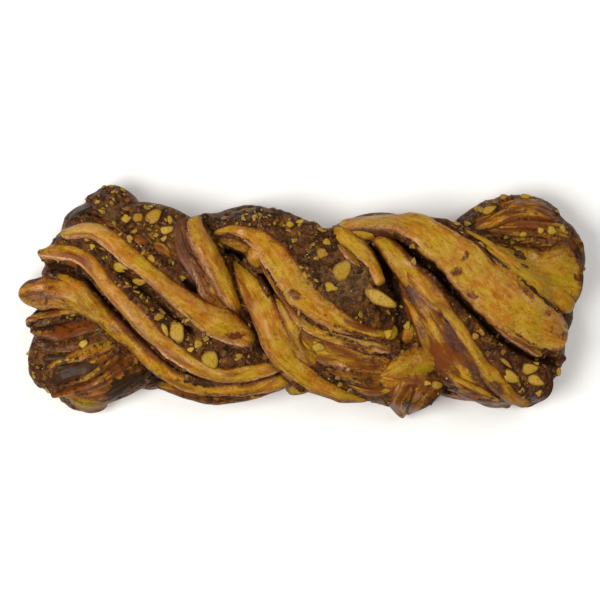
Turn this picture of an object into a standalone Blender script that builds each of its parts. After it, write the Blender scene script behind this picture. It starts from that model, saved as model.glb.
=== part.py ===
"""A chocolate and almond pastry, plaited from two filled strands of dough that were split lengthways.

The model is one solid. +X runs along the plait, +Z is up, and the origin is in the middle of its flat base.
Each strand is a row of fat rolls: it climbs over the other strand as a band on top and goes under it again.
Layers of dough stand up from the rolls as ridges, with chocolate and flaked almonds sunk between them.
All sizes and places in the tables are millimetres.
"""
import math
import random

import bmesh
import bpy
from mathutils import Vector

MM = 0.001

# Driving sizes of the whole plait. Tips are how thick or wide a sweep still is at its very ends.
HEART_STEP = 14.0
ROLL_STEP = 9.0
ROLL_SIDES = 20
ROLL_FULLNESS = 2.5
ROLL_TIP = 0.35
RIDGE_STEP = 8.0
RIDGE_SIDES = 8
RIDGE_ROOT = 6.0
RIDGE_FULLNESS = 2.3
RIDGE_TIP_RISE = 0.5
RIDGE_TIP_HEIGHT = 0.4
RIDGE_ROUND_SHARE = 0.6
SWAY = 0.07
SWAY_LENGTH = 4.3
GAP_ROUND_END = 8.0
GAP_CLEARANCE = 12.0
GAP_TIP = 0.3
GAP_BOTTOM_SHARE = 0.35
MOUND_SIDES = 12
MOUND_LEANS = (-38.0, -7.5, 23.0, 53.5, 84.0)
MOUND_MIDDLE_SHARE = 0.45
LUMP_HEIGHT = 1.1
EDGE_HEIGHT = 15.0
FLAKE_THICKNESS = 1.8
FLAKE_SIDES = 8
FLAKE_TAPER = 0.28
FLAKE_LEAN_ALONG = 10.0
FLAKE_LEAN_ACROSS = 12.0
MOST_TRIANGLES = 11000
PINCH_PASSES = 3
SHARP_ANGLE = 50.0
CRUST_COLOUR = (0.42, 0.21, 0.04, 1)

# A flake's rings from below: how full each is, and its height as a share of the thickness.
FLAKE_RINGS = [(0.55, -1.0), (1.0, 1 / 6), (0.7, 5 / 6)]

# The block that is cut away below the tray: length, width and depth.
BELOW_TRAY = (500.0, 300.0, 40.0)

# The rolls. A route is the middle line in plan; the other values are spread evenly along it.
ROLLS = {
    "heart": dict(
        route=[(-128, 8), (-60, 2), (0, 0), (60, 0), (128, 6)],
        half_width=[30, 42, 42, 42, 34], middle=[12, 12, 12, 12, 12], half_thickness=14, round_end=16),
    "under_one": dict(
        route=[(-154, -26), (-120, -32), (-88, -8), (-58, 22), (-18, 41)],
        half_width=[17, 28, 30, 26, 13], middle=[13, 15, 12, 12, 15], half_thickness=14, round_end=10),
    "under_two": dict(
        route=[(-50, -44), (-18, -22), (12, 6), (42, 34), (66, 42)],
        half_width=[14, 24, 28, 22, 8], middle=[13, 12, 12, 14, 15], half_thickness=13, round_end=16),
    "under_three": dict(
        route=[(34, -46), (62, -34), (92, 0), (120, 28), (158, 14)],
        half_width=[10, 24, 32, 32, 16], middle=[12, 12, 12, 15, 14], half_thickness=14, round_end=11),
    "band_one": dict(
        route=[(-146, 22), (-126, 28), (-94, 23), (-62, -9), (-36, -32), (-8, -46)],
        half_width=[7, 25, 40, 36, 25, 8], middle=[15, 21, 28, 27, 19, 13], half_thickness=14, round_end=16),
    "band_two": dict(
        route=[(-54, 40), (-24, 34), (4, 8), (26, -18), (46, -38), (70, -50)],
        half_width=[7, 21, 33, 35, 22, 14], middle=[15, 23, 28, 27, 18, 13], half_thickness=14, round_end=16),
    "band_three": dict(
        route=[(22, 42), (58, 30), (88, 8), (112, -20), (145, -39)],
        half_width=[5, 21, 35, 40, 20], middle=[15, 24, 28, 25, 15], half_thickness=14, round_end=12),
}

# The ridges of dough. Width and rise above the roll are spread evenly along the route.
RIDGES = {
    "flank": dict(roll="band_one", route=[(-58, 24), (-51, 11), (-43, 1), (-31, -7)],
                  width=[5, 7, 6], rise=[1, 3, 1]),
    "shoulder": dict(roll="band_one", route=[(-63, 46), (-55.5, 34), (-47, 19), (-38, 4), (-27, -9)],
                     width=[9, 13, 12, 7], rise=[4, 6, 6, 2]),
    "collar": dict(roll="band_one", route=[(-133, 39), (-115, 38), (-95, 24), (-74, 8), (-52, -7), (-20, -18)],
                   width=[9, 11, 11, 12, 12, 7], rise=[3, 6, 6, 6, 5, 0]),
    "collar_lip": dict(roll="band_one", route=[(-60, -15), (-49, -21), (-36, -24), (-18, -24)],
                       width=[4, 7, 7], rise=[1, 4, 1]),
    "middle": dict(roll="band_one",
                   route=[(-147, 29), (-126, 26), (-108, 9), (-90, -12), (-70, -29), (-46, -41.5), (-10, -35)],
                   width=[7, 8, 9, 9, 9, 6], rise=[4, 5, 6, 6, 6, 3]),
    "outer": dict(roll="band_one", route=[(-134, 9), (-112, -6), (-93, -24), (-73, -41), (-44, -50), (-10, -44)],
                  width=[9, 9, 10, 10, 9, 7], rise=[4, 6, 7, 6, 5, 3]),
    "finger": dict(roll="band_one", route=[(-160, 4.5), (-148, 6.5), (-137, 7), (-124, 2)],
                   width=[11, 17, 17, 11], rise=[5, 7, 7, 5]),
    "loop": dict(roll="band_two",
                 route=[(-51, 37), (-35, 40), (-21, 32), (-7, 11), (12, -6), (32, -15), (52, -20)],
                 width=[6, 11, 16, 17, 15, 10, 6], rise=[2, 4, 5, 5, 5, 4, 2]),
    "loop_root": dict(roll="band_two", route=[(-48, 35), (-38, 32.5), (-28, 29)], width=[4, 7, 6], rise=[2, 3, 3]),
    "loop_knob": dict(roll="band_two", route=[(-28, 31), (-26, 26), (-25, 19)], width=[8, 10, 7], rise=[3, 5, 2]),
    "tongue": dict(roll="band_two", route=[(-40, 25), (-27, 5), (-17, -13), (-8, -31), (8, -45), (36, -54.5)],
                   width=[9, 13, 15, 15, 9, 4], rise=[3, 6, 7, 6, 4, 2]),
    "tongue_side": dict(roll="band_two", route=[(-10, -3), (-4, -14), (4, -28)], width=[5, 9, 8], rise=[1, 3, 3]),
    "rim": dict(roll="band_two", route=[(12, 44), (21, 37), (30, 22)], width=[5, 8, 6], rise=[3, 4, 3]),
    "hook": dict(roll="band_two", route=[(30, 37), (37, 25), (45, 9)], width=[6, 9, 9], rise=[2, 5, 6]),
    "leaf_one": dict(roll="band_two", route=[(4, -14), (20, -19.5), (34, -22.5), (51, -25)],
                     width=[3, 5, 4], rise=[1, 3, 2]),
    "leaf_two": dict(roll="band_two", route=[(3, -17), (12, -24), (24, -30), (38, -35)],
                     width=[5, 8, 5], rise=[1, 3, 2]),
    "fold": dict(roll="band_two", route=[(43, -43), (56, -37), (70, -34), (80, -41)],
                 width=[12, 19, 14], rise=[3, 4, 2]),
    "bud": dict(roll="band_two", route=[(74, -46), (66, -51), (59, -58), (57, -66)], width=[12, 17, 17, 11],
                rise=[4, 6, 5, 3]),
    "crown": dict(roll="band_three", route=[(22, 42), (48, 45), (73, 36), (97, 15), (121, -5), (152, -20)],
                  width=[8, 13, 22, 27, 28, 20], rise=[3, 5, 6, 6, 6, 4]),
    "edge": dict(roll="band_three", route=[(80, 46), (103, 33), (127, 14), (154, -13)],
                 width=[4, 6, 5], rise=[3, 5, 4]),
    "lip": dict(roll="band_three", route=[(110, -15), (121, -21), (137, -30)], width=[3, 5, 4], rise=[2, 3, 2]),
    "line": dict(roll="band_three", route=[(42, 39), (60, 21), (77, 0), (94, -26), (112, -48), (135, -59)],
                 width=[7, 9, 7, 7, 9, 6], rise=[3, 5, 5, 5, 5, 3]),
    "line_side": dict(roll="band_three", route=[(49, 28), (60, 8), (70, -12), (89, -43)],
                      width=[7, 10, 8], rise=[1, 3, 1]),
    "foot": dict(roll="band_three", route=[(83, -43), (97, -47), (114, -57)], width=[3, 4, 3], rise=[2, 3, 2]),
    "orange": dict(roll="under_three", route=[(92, 40), (105, 48), (122, 52.5), (142, 48)],
                   width=[5, 9, 6], rise=[4, 5, 2]),
    "stripe": dict(roll="under_three", route=[(97, 38), (115, 41), (135, 37), (152, 32)],
                   width=[3, 6, 5], rise=[2, 3, 1]),
    "fan_one": dict(roll="under_three", route=[(98, 36), (120, 29), (140, 25), (157, 21)],
                    width=[4, 9, 8], rise=[3, 4, 1]),
    "fan_two": dict(roll="under_three", route=[(108, 30), (125, 21), (142, 13), (157, 7)],
                    width=[4, 10, 9], rise=[3, 4, 1]),
    "fan_three": dict(roll="under_three", route=[(118, 22), (133, 11), (145, 3), (154, -5)],
                      width=[5, 10, 6], rise=[3, 4, 2]),
    "tail_one": dict(roll="under_one", route=[(-155, -9), (-140, -6.5), (-119, -3)], width=[4, 5, 5], rise=[2, 4, 3]),
    "tail_two": dict(roll="under_one", route=[(-145, -37.5), (-128, -32), (-115, -26), (-99, -18)],
                     width=[4, 7, 5], rise=[2, 4, 2]),
    "tail_slab": dict(roll="under_one", route=[(-145, -45), (-127, -41), (-113, -35), (-100, -26)],
                      width=[8, 12, 8], rise=[1, 2, 1]),
    "tail_three": dict(roll="under_one", route=[(-143, -53), (-124, -46.5), (-108, -37.5), (-90, -26)],
                       width=[4, 7, 5], rise=[2, 4, 2]),
    "tail_four": dict(roll="under_one", route=[(-130, -57), (-114, -52), (-97, -44)], width=[7, 6, 4],
                      rise=[2, 3, 1]),
}

# The deep gaps between the ridges, as routes with a width, and how far they go down from the roll.
GAPS = {
    "under_crown": dict(roll="band_three", route=[(43, 40), (62, 28.5), (84, 8.5), (106, -14), (128, -29), (150, -36)],
                        width=[4, 5, 6, 6, 4], depth=11),
    "beside_shoulder": dict(roll="band_one", route=[(-66, 16), (-54, 7), (-42, -4), (-27, -12)],
                            width=[3, 6, 5], depth=8),
    "under_collar": dict(roll="band_one", route=[(-103, 23), (-88, 9.5), (-74, -3), (-58, -17)],
                         width=[3, 4, 3], depth=7),
    "beside_outer": dict(roll="band_one",
                         route=[(-149, 19), (-128, 18.5), (-112, 3), (-93, -17.5), (-72, -36), (-46, -46)],
                         width=[4, 4, 3], depth=7),
    "under_finger": dict(roll="under_one", route=[(-160, -4), (-140, -3.5), (-122, 1)], width=[5, 4, 3], depth=10),
    "behind_tongue": dict(roll="band_two", route=[(-44, 27.5), (-38, 27), (-31.5, 24.5)], width=[5, 6, 4], depth=10),
    "beside_tongue": dict(roll="band_two", route=[(-27, 16.5), (-19, 8), (-11, -5)], width=[3, 5, 3], depth=7),
    "beside_hook": dict(roll="band_two", route=[(37, 34), (45.5, 22), (52, 6)], width=[3, 5, 4], depth=7),
}

# Low mounds of filling: place, half length, half width and top height.
MOUNDS = {
    "corner": (-107, 47, 18, 18.5, 33),
    "corner_low": (-118, 42, 18, 14, 31),
    "finger_side": (-133, 16, 15, 8, 25),
    "tail_top": (-138, -12, 17, 12, 22),
    "tail": (-123, -46, 17, 16, 24),
    "tail_corner": (-86, -37, 13, 13, 22),
    "under_loop": (-30, 40, 24, 15, 24),
    "bud_foot": (61, -46, 17, 17, 20),
    "foot": (97, -42, 28, 14.5, 20),
    "right_end": (128, -38, 15, 19, 24),
    "right_rim": (140, -6, 14, 17, 22),
    "fan_top": (123, 46, 24, 15, 28),
    "fan_side": (144, 20, 15, 20, 23),
}

# Flaked almonds: place, length, width and turn in degrees, the largest first.
FLAKES = [
    (43.7, 1.7, 19, 8.4, -25), (-1, -49, 15, 6, 0), (23, 18, 12.3, 9.5, 70), (-69.4, -16.8, 12, 9, -70),
    (-50.9, -32.5, 11, 9, -60), (130.5, -43.7, 10, 4.5, -20), (105.3, 51.5, 10, 4.5, 25), (-82.3, 47.6, 9, 8, 40),
    (117.7, -42, 9, 5.6, -35), (-100.7, 19, 8, 5.6, -10), (9.6, -25.2, 8, 5, -10), (127.7, -37, 8, 4.5, 10),
    (-75, 39.8, 8, 4.5, 15), (11.3, 26.9, 7, 5.6, 20), (16.3, 7.8, 7, 5, 0), (-79.5, -8.4, 6.7, 4, 20),
    (140, 39.8, 6.7, 4.5, -15), (-91.8, 47, 6, 6, 0), (48.2, -17.4, 6, 5, 30), (126.6, 59.0, 6, 3.4, 0),
    (-98, 46.5, 6, 5, 10), (-91.2, 10, 5.6, 4, 15), (-122, -23, 5.6, 4.5, 30), (59.4, -12.9, 5, 4, 60),
    (-57.6, -23.5, 5, 4.5, 0), (113.7, 58.8, 5, 3.4, 10), (123.8, 38, 4.5, 3.5, 0), (133, -51, 4.5, 4, 45),
]


def smooth_value(values, share):
    """The value at a share of the way along a list, on a smooth curve through evenly spaced values."""
    if isinstance(values, (int, float)):
        return values
    place = min(max(share, 0.0), 1.0) * (len(values) - 1)
    index = min(int(place), len(values) - 2)
    part = place - index
    before = values[max(index - 1, 0)]
    start = values[index]
    end = values[index + 1]
    after = values[min(index + 2, len(values) - 1)]
    slope_in = (end - before) / 2
    slope_out = (after - start) / 2
    return ((2 * part**3 - 3 * part**2 + 1) * start + (part**3 - 2 * part**2 + part) * slope_in
            + (3 * part**2 - 2 * part**3) * end + (part**3 - part**2) * slope_out)


def smooth_route(points, pieces=12):
    """A dense line in plan through the points, with the length run so far at each of its points."""
    dense = []
    for index in range(len(points) - 1):
        before = Vector(points[max(index - 1, 0)])
        start = Vector(points[index])
        end = Vector(points[index + 1])
        after = Vector(points[min(index + 2, len(points) - 1)])
        for step in range(pieces):
            part = step / pieces
            dense.append(0.5 * (2 * start + (end - before) * part
                                + (2 * before - 5 * start + 4 * end - after) * part**2
                                + (3 * start - before - 3 * end + after) * part**3))
    dense.append(Vector(points[-1]))
    runs = [0.0]
    for first, second in zip(dense, dense[1:]):
        runs.append(runs[-1] + (second - first).length)
    return dense, runs


def place_on(line, distance):
    """The point and direction at a distance along a dense line."""
    dense, runs = line
    index = 0
    while index < len(runs) - 2 and runs[index + 1] < distance:
        index += 1
    part = (distance - runs[index]) / (runs[index + 1] - runs[index])
    return dense[index].lerp(dense[index + 1], part), (dense[index + 1] - dense[index]).normalized()


def nearest_on(line, x, y):
    """How far the nearest point of a line is, and its share of the way along the line."""
    dense, runs = line
    point = Vector((x, y))
    best = None
    for index in range(len(dense) - 1):
        start = dense[index]
        step = dense[index + 1] - start
        part = min(max((point - start).dot(step) / step.length_squared, 0.0), 1.0)
        distance = (point - start - step * part).length
        if best is None or distance < best[0]:
            best = (distance, (runs[index] + part * step.length) / runs[-1])
    return best


def end_rounding(distance, length, reach):
    """How full a section is near the round ends of a sweep, from 0 at the tip to 1."""
    from_end = min(distance, length - distance)
    if from_end >= reach:
        return 1.0
    return math.sqrt(max(1 - (1 - from_end / reach)**2, 0.0))


def stops(length, step, reach, tip_shares=(0.06, 0.4), most_share=0.45):
    """The distances at which a sweep has a section: closer together on its round ends."""
    reach = min(reach, length * most_share)
    ends = [reach * share for share in tip_shares]
    count = max(2, round((length - 2 * reach) / step) + 1)
    inner = [reach + (length - 2 * reach) * index / (count - 1) for index in range(count)]
    return ends + inner + [length - distance for distance in reversed(ends)]


def lumps(x, y):
    """A gentle unevenness of the filling, from -1 to 1."""
    return (math.sin(0.31 * x + 0.17 * y + 1.3) * math.sin(0.27 * y - 0.11 * x + 0.4)
            + 0.6 * math.sin(0.53 * x - 0.37 * y) * math.sin(0.45 * y + 0.29 * x + 2.1)) / 1.6


LINES = {name: smooth_route(roll["route"]) for name, roll in ROLLS.items()}


def roll_top(name, x, y, last_across=0.97):
    """The height of a roll's upper face over a place in plan, held level past its sides."""
    roll = ROLLS[name]
    distance, share = nearest_on(LINES[name], x, y)
    across = min(distance / smooth_value(roll["half_width"], share), last_across)
    bulge = (1 - across**ROLL_FULLNESS)**(1 / ROLL_FULLNESS)
    return smooth_value(roll["middle"], share) + roll["half_thickness"] * bulge


def roll_normal(name, x, y, reach=2.0):
    """The direction that a roll's upper face looks in."""
    slope_x = (roll_top(name, x + reach, y) - roll_top(name, x - reach, y)) / (2 * reach)
    slope_y = (roll_top(name, x, y + reach) - roll_top(name, x, y - reach)) / (2 * reach)
    return Vector((-slope_x, -slope_y, 1)).normalized()


def rounded(angle, fullness):
    """A point of a superellipse with half axes of 1."""
    across = math.copysign(abs(math.cos(angle))**(2 / fullness), math.cos(angle))
    up = math.copysign(abs(math.sin(angle))**(2 / fullness), math.sin(angle))
    return across, up


def mesh_from_rings(name, rings):
    """A closed object whose skin joins a row of rings, with a flat cap on the first and the last."""
    mesh = bmesh.new()
    rows = [[mesh.verts.new(point * MM) for point in ring] for ring in rings]
    for first, second in zip(rows, rows[1:]):
        for index in range(len(first)):
            after = (index + 1) % len(first)
            mesh.faces.new((first[index], second[index], second[after], first[after]))
    mesh.faces.new(rows[0])
    mesh.faces.new(list(reversed(rows[-1])))
    bmesh.ops.recalc_face_normals(mesh, faces=mesh.faces)
    data = bpy.data.meshes.new(name)
    mesh.to_mesh(data)
    mesh.free()
    return bpy.data.objects.new(name, data)


def make_roll(name, step):
    """One fat roll of filled dough, an upright oval swept along its route."""
    roll = ROLLS[name]
    line = LINES[name]
    length = line[1][-1]
    rings = []
    for distance in stops(length, step, roll["round_end"]):
        share = distance / length
        middle, along = place_on(line, distance)
        side = Vector((-along.y, along.x))
        full = end_rounding(distance, length, roll["round_end"])
        half_width = smooth_value(roll["half_width"], share) * full
        half_thickness = roll["half_thickness"] * (ROLL_TIP + (1 - ROLL_TIP) * full)
        ring = []
        for index in range(ROLL_SIDES):
            across, up = rounded(2 * math.pi * index / ROLL_SIDES, ROLL_FULLNESS)
            spot = middle + side * (across * half_width)
            height = smooth_value(roll["middle"], share) + up * half_thickness
            if up > 0:
                height += up * LUMP_HEIGHT * lumps(spot.x, spot.y)
            ring.append(Vector((spot.x, spot.y, height)))
        rings.append(ring)
    return mesh_from_rings(name, rings)


def make_ridge(name):
    """One ridge of dough, an oval swept over its roll and leaning the way the roll's face does."""
    ridge = RIDGES[name]
    line = smooth_route(ridge["route"])
    length = line[1][-1]
    reach = smooth_value(ridge["width"], 0.5) * RIDGE_ROUND_SHARE
    phase = random.Random(name).uniform(0, 2 * math.pi)
    rings = []
    for distance in stops(length, RIDGE_STEP, reach):
        share = distance / length
        middle, along = place_on(line, distance)
        up = roll_normal(ridge["roll"], middle.x, middle.y)
        side = up.cross(Vector((along.x, along.y, 0))).normalized()
        full = end_rounding(distance, length, reach)
        sway = 1 + SWAY * math.sin(distance / SWAY_LENGTH + phase)
        half_width = smooth_value(ridge["width"], share) / 2 * full * sway
        rise = smooth_value(ridge["rise"], share) * (RIDGE_TIP_RISE + (1 - RIDGE_TIP_RISE) * full) * sway
        half_height = (rise + RIDGE_ROOT) / 2
        foot = Vector((middle.x, middle.y, roll_top(ridge["roll"], middle.x, middle.y)))
        centre = foot + up * (rise - half_height)
        height_here = half_height * (RIDGE_TIP_HEIGHT + (1 - RIDGE_TIP_HEIGHT) * full)
        ring = []
        for index in range(RIDGE_SIDES):
            across, lift = rounded(2 * math.pi * index / RIDGE_SIDES, RIDGE_FULLNESS)
            ring.append(centre + side * (across * half_width) + up * (lift * height_here))
        rings.append(ring)
    return mesh_from_rings(name, rings)


def make_gap(name):
    """A cutter for one deep gap, a blade with its point down that follows its route."""
    gap = GAPS[name]
    line = smooth_route(gap["route"])
    length = line[1][-1]
    rings = []
    for distance in stops(length, RIDGE_STEP, GAP_ROUND_END):
        share = distance / length
        middle, along = place_on(line, distance)
        side = Vector((-along.y, along.x, 0))
        full = end_rounding(distance, length, GAP_ROUND_END)
        half_width = smooth_value(gap["width"], share) / 2 * (GAP_TIP + (1 - GAP_TIP) * full)
        half_bottom = half_width * GAP_BOTTOM_SHARE
        top = roll_top(gap["roll"], middle.x, middle.y)
        low = top - gap["depth"] * full
        high = top + GAP_CLEARANCE
        corners = [(-half_width, high), (half_width, high), (half_width, top),
                   (half_bottom, low), (-half_bottom, low), (-half_width, top)]
        spot = Vector((middle.x, middle.y, 0))
        rings.append([spot + side * across + Vector((0, 0, height)) for across, height in corners])
    return mesh_from_rings("gap_" + name, rings)


def make_mound(name, lump_travel=9):
    """A low round mound of filling that stands on the tray or on a roll."""
    x, y, half_length, half_width, top = MOUNDS[name]
    rings = []
    for degrees in MOUND_LEANS:
        lean = math.radians(degrees)
        height = top * (MOUND_MIDDLE_SHARE + (1 - MOUND_MIDDLE_SHARE) * math.sin(lean))
        ring = []
        for index in range(MOUND_SIDES):
            turn = 2 * math.pi * index / MOUND_SIDES
            ring.append(Vector((x + half_length * math.cos(lean) * math.cos(turn),
                                y + half_width * math.cos(lean) * math.sin(turn),
                                height + LUMP_HEIGHT * lumps(x + lump_travel * turn, y))))
        rings.append(ring)
    return mesh_from_rings("mound_" + name, rings)


def filling_top(x, y):
    """The height of the topmost roll over a place in plan."""
    heights = []
    for name in ROLLS:
        distance, share = nearest_on(LINES[name], x, y)
        if distance < smooth_value(ROLLS[name]["half_width"], share):
            heights.append(roll_top(name, x, y))
    return max(heights, default=EDGE_HEIGHT)


def make_flake(index, flake):
    """One flaked almond, a thin pointed oval that lies on the filling."""
    x, y, length, width, turn = flake
    draw = random.Random(index)
    lean_along = math.radians(draw.uniform(-FLAKE_LEAN_ALONG, FLAKE_LEAN_ALONG))
    lean_across = math.radians(draw.uniform(-FLAKE_LEAN_ACROSS, FLAKE_LEAN_ACROSS))
    spin = math.radians(turn)
    lift = filling_top(x, y) + LUMP_HEIGHT
    rings = []
    for full, height in FLAKE_RINGS:
        ring = []
        for corner in range(FLAKE_SIDES):
            angle = 2 * math.pi * corner / FLAKE_SIDES
            taper = 1 - FLAKE_TAPER * math.cos(angle)
            along = length / 2 * math.cos(angle) * full
            across = width / 2 * math.sin(angle) * full * taper
            up = height * FLAKE_THICKNESS + along * math.sin(lean_along) + across * math.sin(lean_across)
            ring.append(Vector((x + along * math.cos(spin) - across * math.sin(spin),
                                y + along * math.sin(spin) + across * math.cos(spin), lift + up)))
        rings.append(ring)
    return mesh_from_rings(f"flake_{index:02d}", rings)


def apply_boolean(target, operation, collection):
    """Joins a collection to the target or cuts it away, then removes the collection's objects."""
    modifier = target.modifiers.new("join", "BOOLEAN")
    modifier.operation = operation
    modifier.operand_type = "COLLECTION"
    modifier.collection = collection
    modifier.solver = "MANIFOLD"
    evaluated = target.evaluated_get(bpy.context.evaluated_depsgraph_get())
    result = bpy.data.meshes.new_from_object(evaluated)
    target.modifiers.clear()
    target.data = result
    for item in list(collection.objects):
        bpy.data.objects.remove(item, do_unlink=True)
    bpy.data.collections.remove(collection)


def collection_of(name, items):
    """A new collection in the scene that holds the items."""
    collection = bpy.data.collections.new(name)
    bpy.context.scene.collection.children.link(collection)
    for item in items:
        collection.objects.link(item)
    return collection


def floor_cutter():
    """A block whose upper face is the tray that the plait was baked on."""
    block = Vector(BELOW_TRAY) * MM
    mesh = bmesh.new()
    bmesh.ops.create_cube(mesh, size=1.0)
    bmesh.ops.scale(mesh, verts=mesh.verts, vec=block)
    bmesh.ops.translate(mesh, verts=mesh.verts, vec=(0, 0, -block.z / 2))
    data = bpy.data.meshes.new("tray")
    mesh.to_mesh(data)
    mesh.free()
    return bpy.data.objects.new("tray", data)


def triangles_of(data):
    """How many triangles a mesh's faces make."""
    return sum(len(face.vertices) - 2 for face in data.polygons)


def thin_out(target):
    """Brings the union down to its number of triangles, the smallest ones first."""
    thin = target.modifiers.new("thin", "DECIMATE")
    thin.ratio = min(1.0, MOST_TRIANGLES / triangles_of(target.data))
    thin.use_collapse_triangulate = True
    evaluated = target.evaluated_get(bpy.context.evaluated_depsgraph_get())
    result = bpy.data.meshes.new_from_object(evaluated)
    target.modifiers.clear()
    target.data = result


def shells_of(mesh):
    """The separate closed skins of a bmesh, as sets of faces."""
    left = set(mesh.faces)
    shells = []
    while left:
        reached = [left.pop()]
        shell = set(reached)
        while reached:
            for edge in reached.pop().edges:
                for face in edge.link_faces:
                    if face in left:
                        left.discard(face)
                        shell.add(face)
                        reached.append(face)
        shells.append(shell)
    return shells


def keep_one_skin(target):
    """Closes edges that the union pinched, fills sealed hollows and drops loose scraps."""
    mesh = bmesh.new()
    mesh.from_mesh(target.data)
    for _ in range(PINCH_PASSES):
        pinched = [edge for edge in mesh.edges if not edge.is_manifold]
        bmesh.ops.collapse(mesh, edges=pinched)
    shells = sorted(shells_of(mesh), key=len, reverse=True)
    for shell in shells[1:]:
        bmesh.ops.delete(mesh, geom=list(shell), context="FACES")
    mesh.to_mesh(target.data)
    mesh.free()


def crust_material():
    """Baked dough that is glazed all over."""
    material = bpy.data.materials.new("glazed_dough")
    material.use_nodes = True
    shader = material.node_tree.nodes["Principled BSDF"]
    shader.inputs["Base Color"].default_value = CRUST_COLOUR
    shader.inputs["Roughness"].default_value = 0.38
    shader.inputs["Metallic"].default_value = 0.0
    material.diffuse_color = CRUST_COLOUR
    return material


def build():
    """Makes the whole plait as one closed solid."""
    for item in list(bpy.data.objects):
        bpy.data.objects.remove(item, do_unlink=True)
    plait = make_roll("heart", HEART_STEP)
    plait.name = "plait"
    bpy.context.scene.collection.objects.link(plait)
    rolls = [make_roll(name, ROLL_STEP) for name in ROLLS if name != "heart"]
    mounds = [make_mound(name) for name in MOUNDS]
    apply_boolean(plait, "UNION", collection_of("filling", rolls + mounds))
    apply_boolean(plait, "DIFFERENCE", collection_of("gaps", [make_gap(name) for name in GAPS]))
    ridges = [make_ridge(name) for name in RIDGES]
    flakes = [make_flake(index, flake) for index, flake in enumerate(FLAKES)]
    apply_boolean(plait, "UNION", collection_of("dough_and_almonds", ridges + flakes))
    thin_out(plait)
    keep_one_skin(plait)
    apply_boolean(plait, "DIFFERENCE", collection_of("below_the_tray", [floor_cutter()]))
    keep_one_skin(plait)
    plait.data.materials.clear()
    plait.data.materials.append(crust_material())
    plait.data.shade_smooth()
    plait.data.set_sharp_from_angle(angle=math.radians(SHARP_ANGLE))


build()
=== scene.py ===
"""The looks of a chocolate and almond pastry, plaited from two filled strands that were split lengthways.

The filling is one lumpy body swept from the same rolls as the solid, and the strips of dough stand in it.
Flaked almonds, chopped nuts, crumbs and sugar lie on top as meshes at true size.
All sizes and places in the tables are millimetres, in the frame of the solid.
"""
import math

import bmesh
import bpy
import numpy as np
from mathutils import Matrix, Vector
from mathutils.bvhtree import BVHTree


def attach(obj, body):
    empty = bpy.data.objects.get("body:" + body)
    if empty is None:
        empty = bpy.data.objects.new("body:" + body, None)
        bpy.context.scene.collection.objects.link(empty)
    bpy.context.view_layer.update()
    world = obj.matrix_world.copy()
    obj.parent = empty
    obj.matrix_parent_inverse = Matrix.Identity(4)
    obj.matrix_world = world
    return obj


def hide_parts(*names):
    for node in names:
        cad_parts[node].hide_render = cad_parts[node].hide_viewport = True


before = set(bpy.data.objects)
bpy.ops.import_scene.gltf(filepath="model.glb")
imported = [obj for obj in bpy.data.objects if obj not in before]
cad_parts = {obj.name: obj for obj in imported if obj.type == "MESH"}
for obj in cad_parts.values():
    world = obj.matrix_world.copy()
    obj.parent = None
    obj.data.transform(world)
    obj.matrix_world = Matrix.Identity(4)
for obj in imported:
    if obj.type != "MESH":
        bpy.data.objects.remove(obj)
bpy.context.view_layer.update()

MM = 0.001
PLAIT = "plait"
BODY = "root"

# How finely things are made.
VOXEL = 1.15
ROLL_STEP = 3.0
ROLL_SIDES = 48
STRIP_STEP = 1.1
STRIP_TOP_SIDES = 34
STRIP_FOOT_SIDES = 6
STRIP_ROOT = 6.0
STRIP_BREADTH = 1.14
CREST_SHIFT = 0.8
ROLL_FULLNESS = 2.5
MAP_REACH = (180, 90)

# The rolls, the same as in the solid: each is an upright oval swept along its route.
ROLLS = {
    "heart": dict(
        route=[(-128, 8), (-60, 2), (0, 0), (60, 0), (128, 6)],
        half_width=[30, 42, 42, 42, 34], middle=[12, 12, 12, 12, 12], half_thickness=14, round_end=16),
    "under_one": dict(
        route=[(-154, -26), (-120, -32), (-88, -8), (-58, 22), (-18, 41)],
        half_width=[17, 28, 30, 26, 13], middle=[13, 15, 12, 12, 15], half_thickness=14, round_end=10),
    "under_two": dict(
        route=[(-50, -44), (-18, -22), (12, 6), (42, 34), (66, 42)],
        half_width=[14, 24, 28, 22, 8], middle=[13, 12, 12, 14, 15], half_thickness=13, round_end=16),
    "under_three": dict(
        route=[(34, -46), (62, -34), (92, 0), (120, 28), (158, 14)],
        half_width=[10, 24, 32, 32, 16], middle=[12, 12, 12, 15, 14], half_thickness=14, round_end=11),
    "band_one": dict(
        route=[(-146, 22), (-126, 28), (-94, 23), (-62, -9), (-36, -32), (-8, -46)],
        half_width=[7, 25, 40, 36, 25, 8], middle=[15, 21, 28, 27, 19, 13], half_thickness=14, round_end=16),
    "band_two": dict(
        route=[(-54, 40), (-24, 34), (4, 8), (26, -18), (46, -38), (70, -50)],
        half_width=[7, 21, 33, 35, 22, 14], middle=[15, 23, 28, 27, 18, 13], half_thickness=14, round_end=16),
    "band_three": dict(
        route=[(22, 42), (58, 30), (88, 8), (112, -20), (145, -39)],
        half_width=[5, 21, 35, 40, 20], middle=[15, 24, 28, 25, 15], half_thickness=14, round_end=12),
}

# Low mounds of filling, the same as in the solid: place, half length, half width and top height.
MOUNDS = {
    "corner": (-107, 47, 18, 18.5, 33),
    "corner_low": (-118, 42, 18, 14, 31),
    "finger_side": (-133, 16, 15, 8, 25),
    "tail_top": (-138, -12, 17, 12, 22),
    "tail": (-123, -46, 17, 16, 24),
    "tail_corner": (-86, -37, 13, 13, 22),
    "under_loop": (-30, 40, 24, 15, 24),
    "bud_foot": (61, -46, 17, 17, 20),
    "foot": (97, -42, 28, 14.5, 20),
    "right_end": (128, -38, 15, 19, 24),
    "right_rim": (140, -6, 14, 17, 22),
    "fan_top": (123, 46, 24, 15, 28),
    "fan_side": (144, 20, 15, 20, 23),
}

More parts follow.
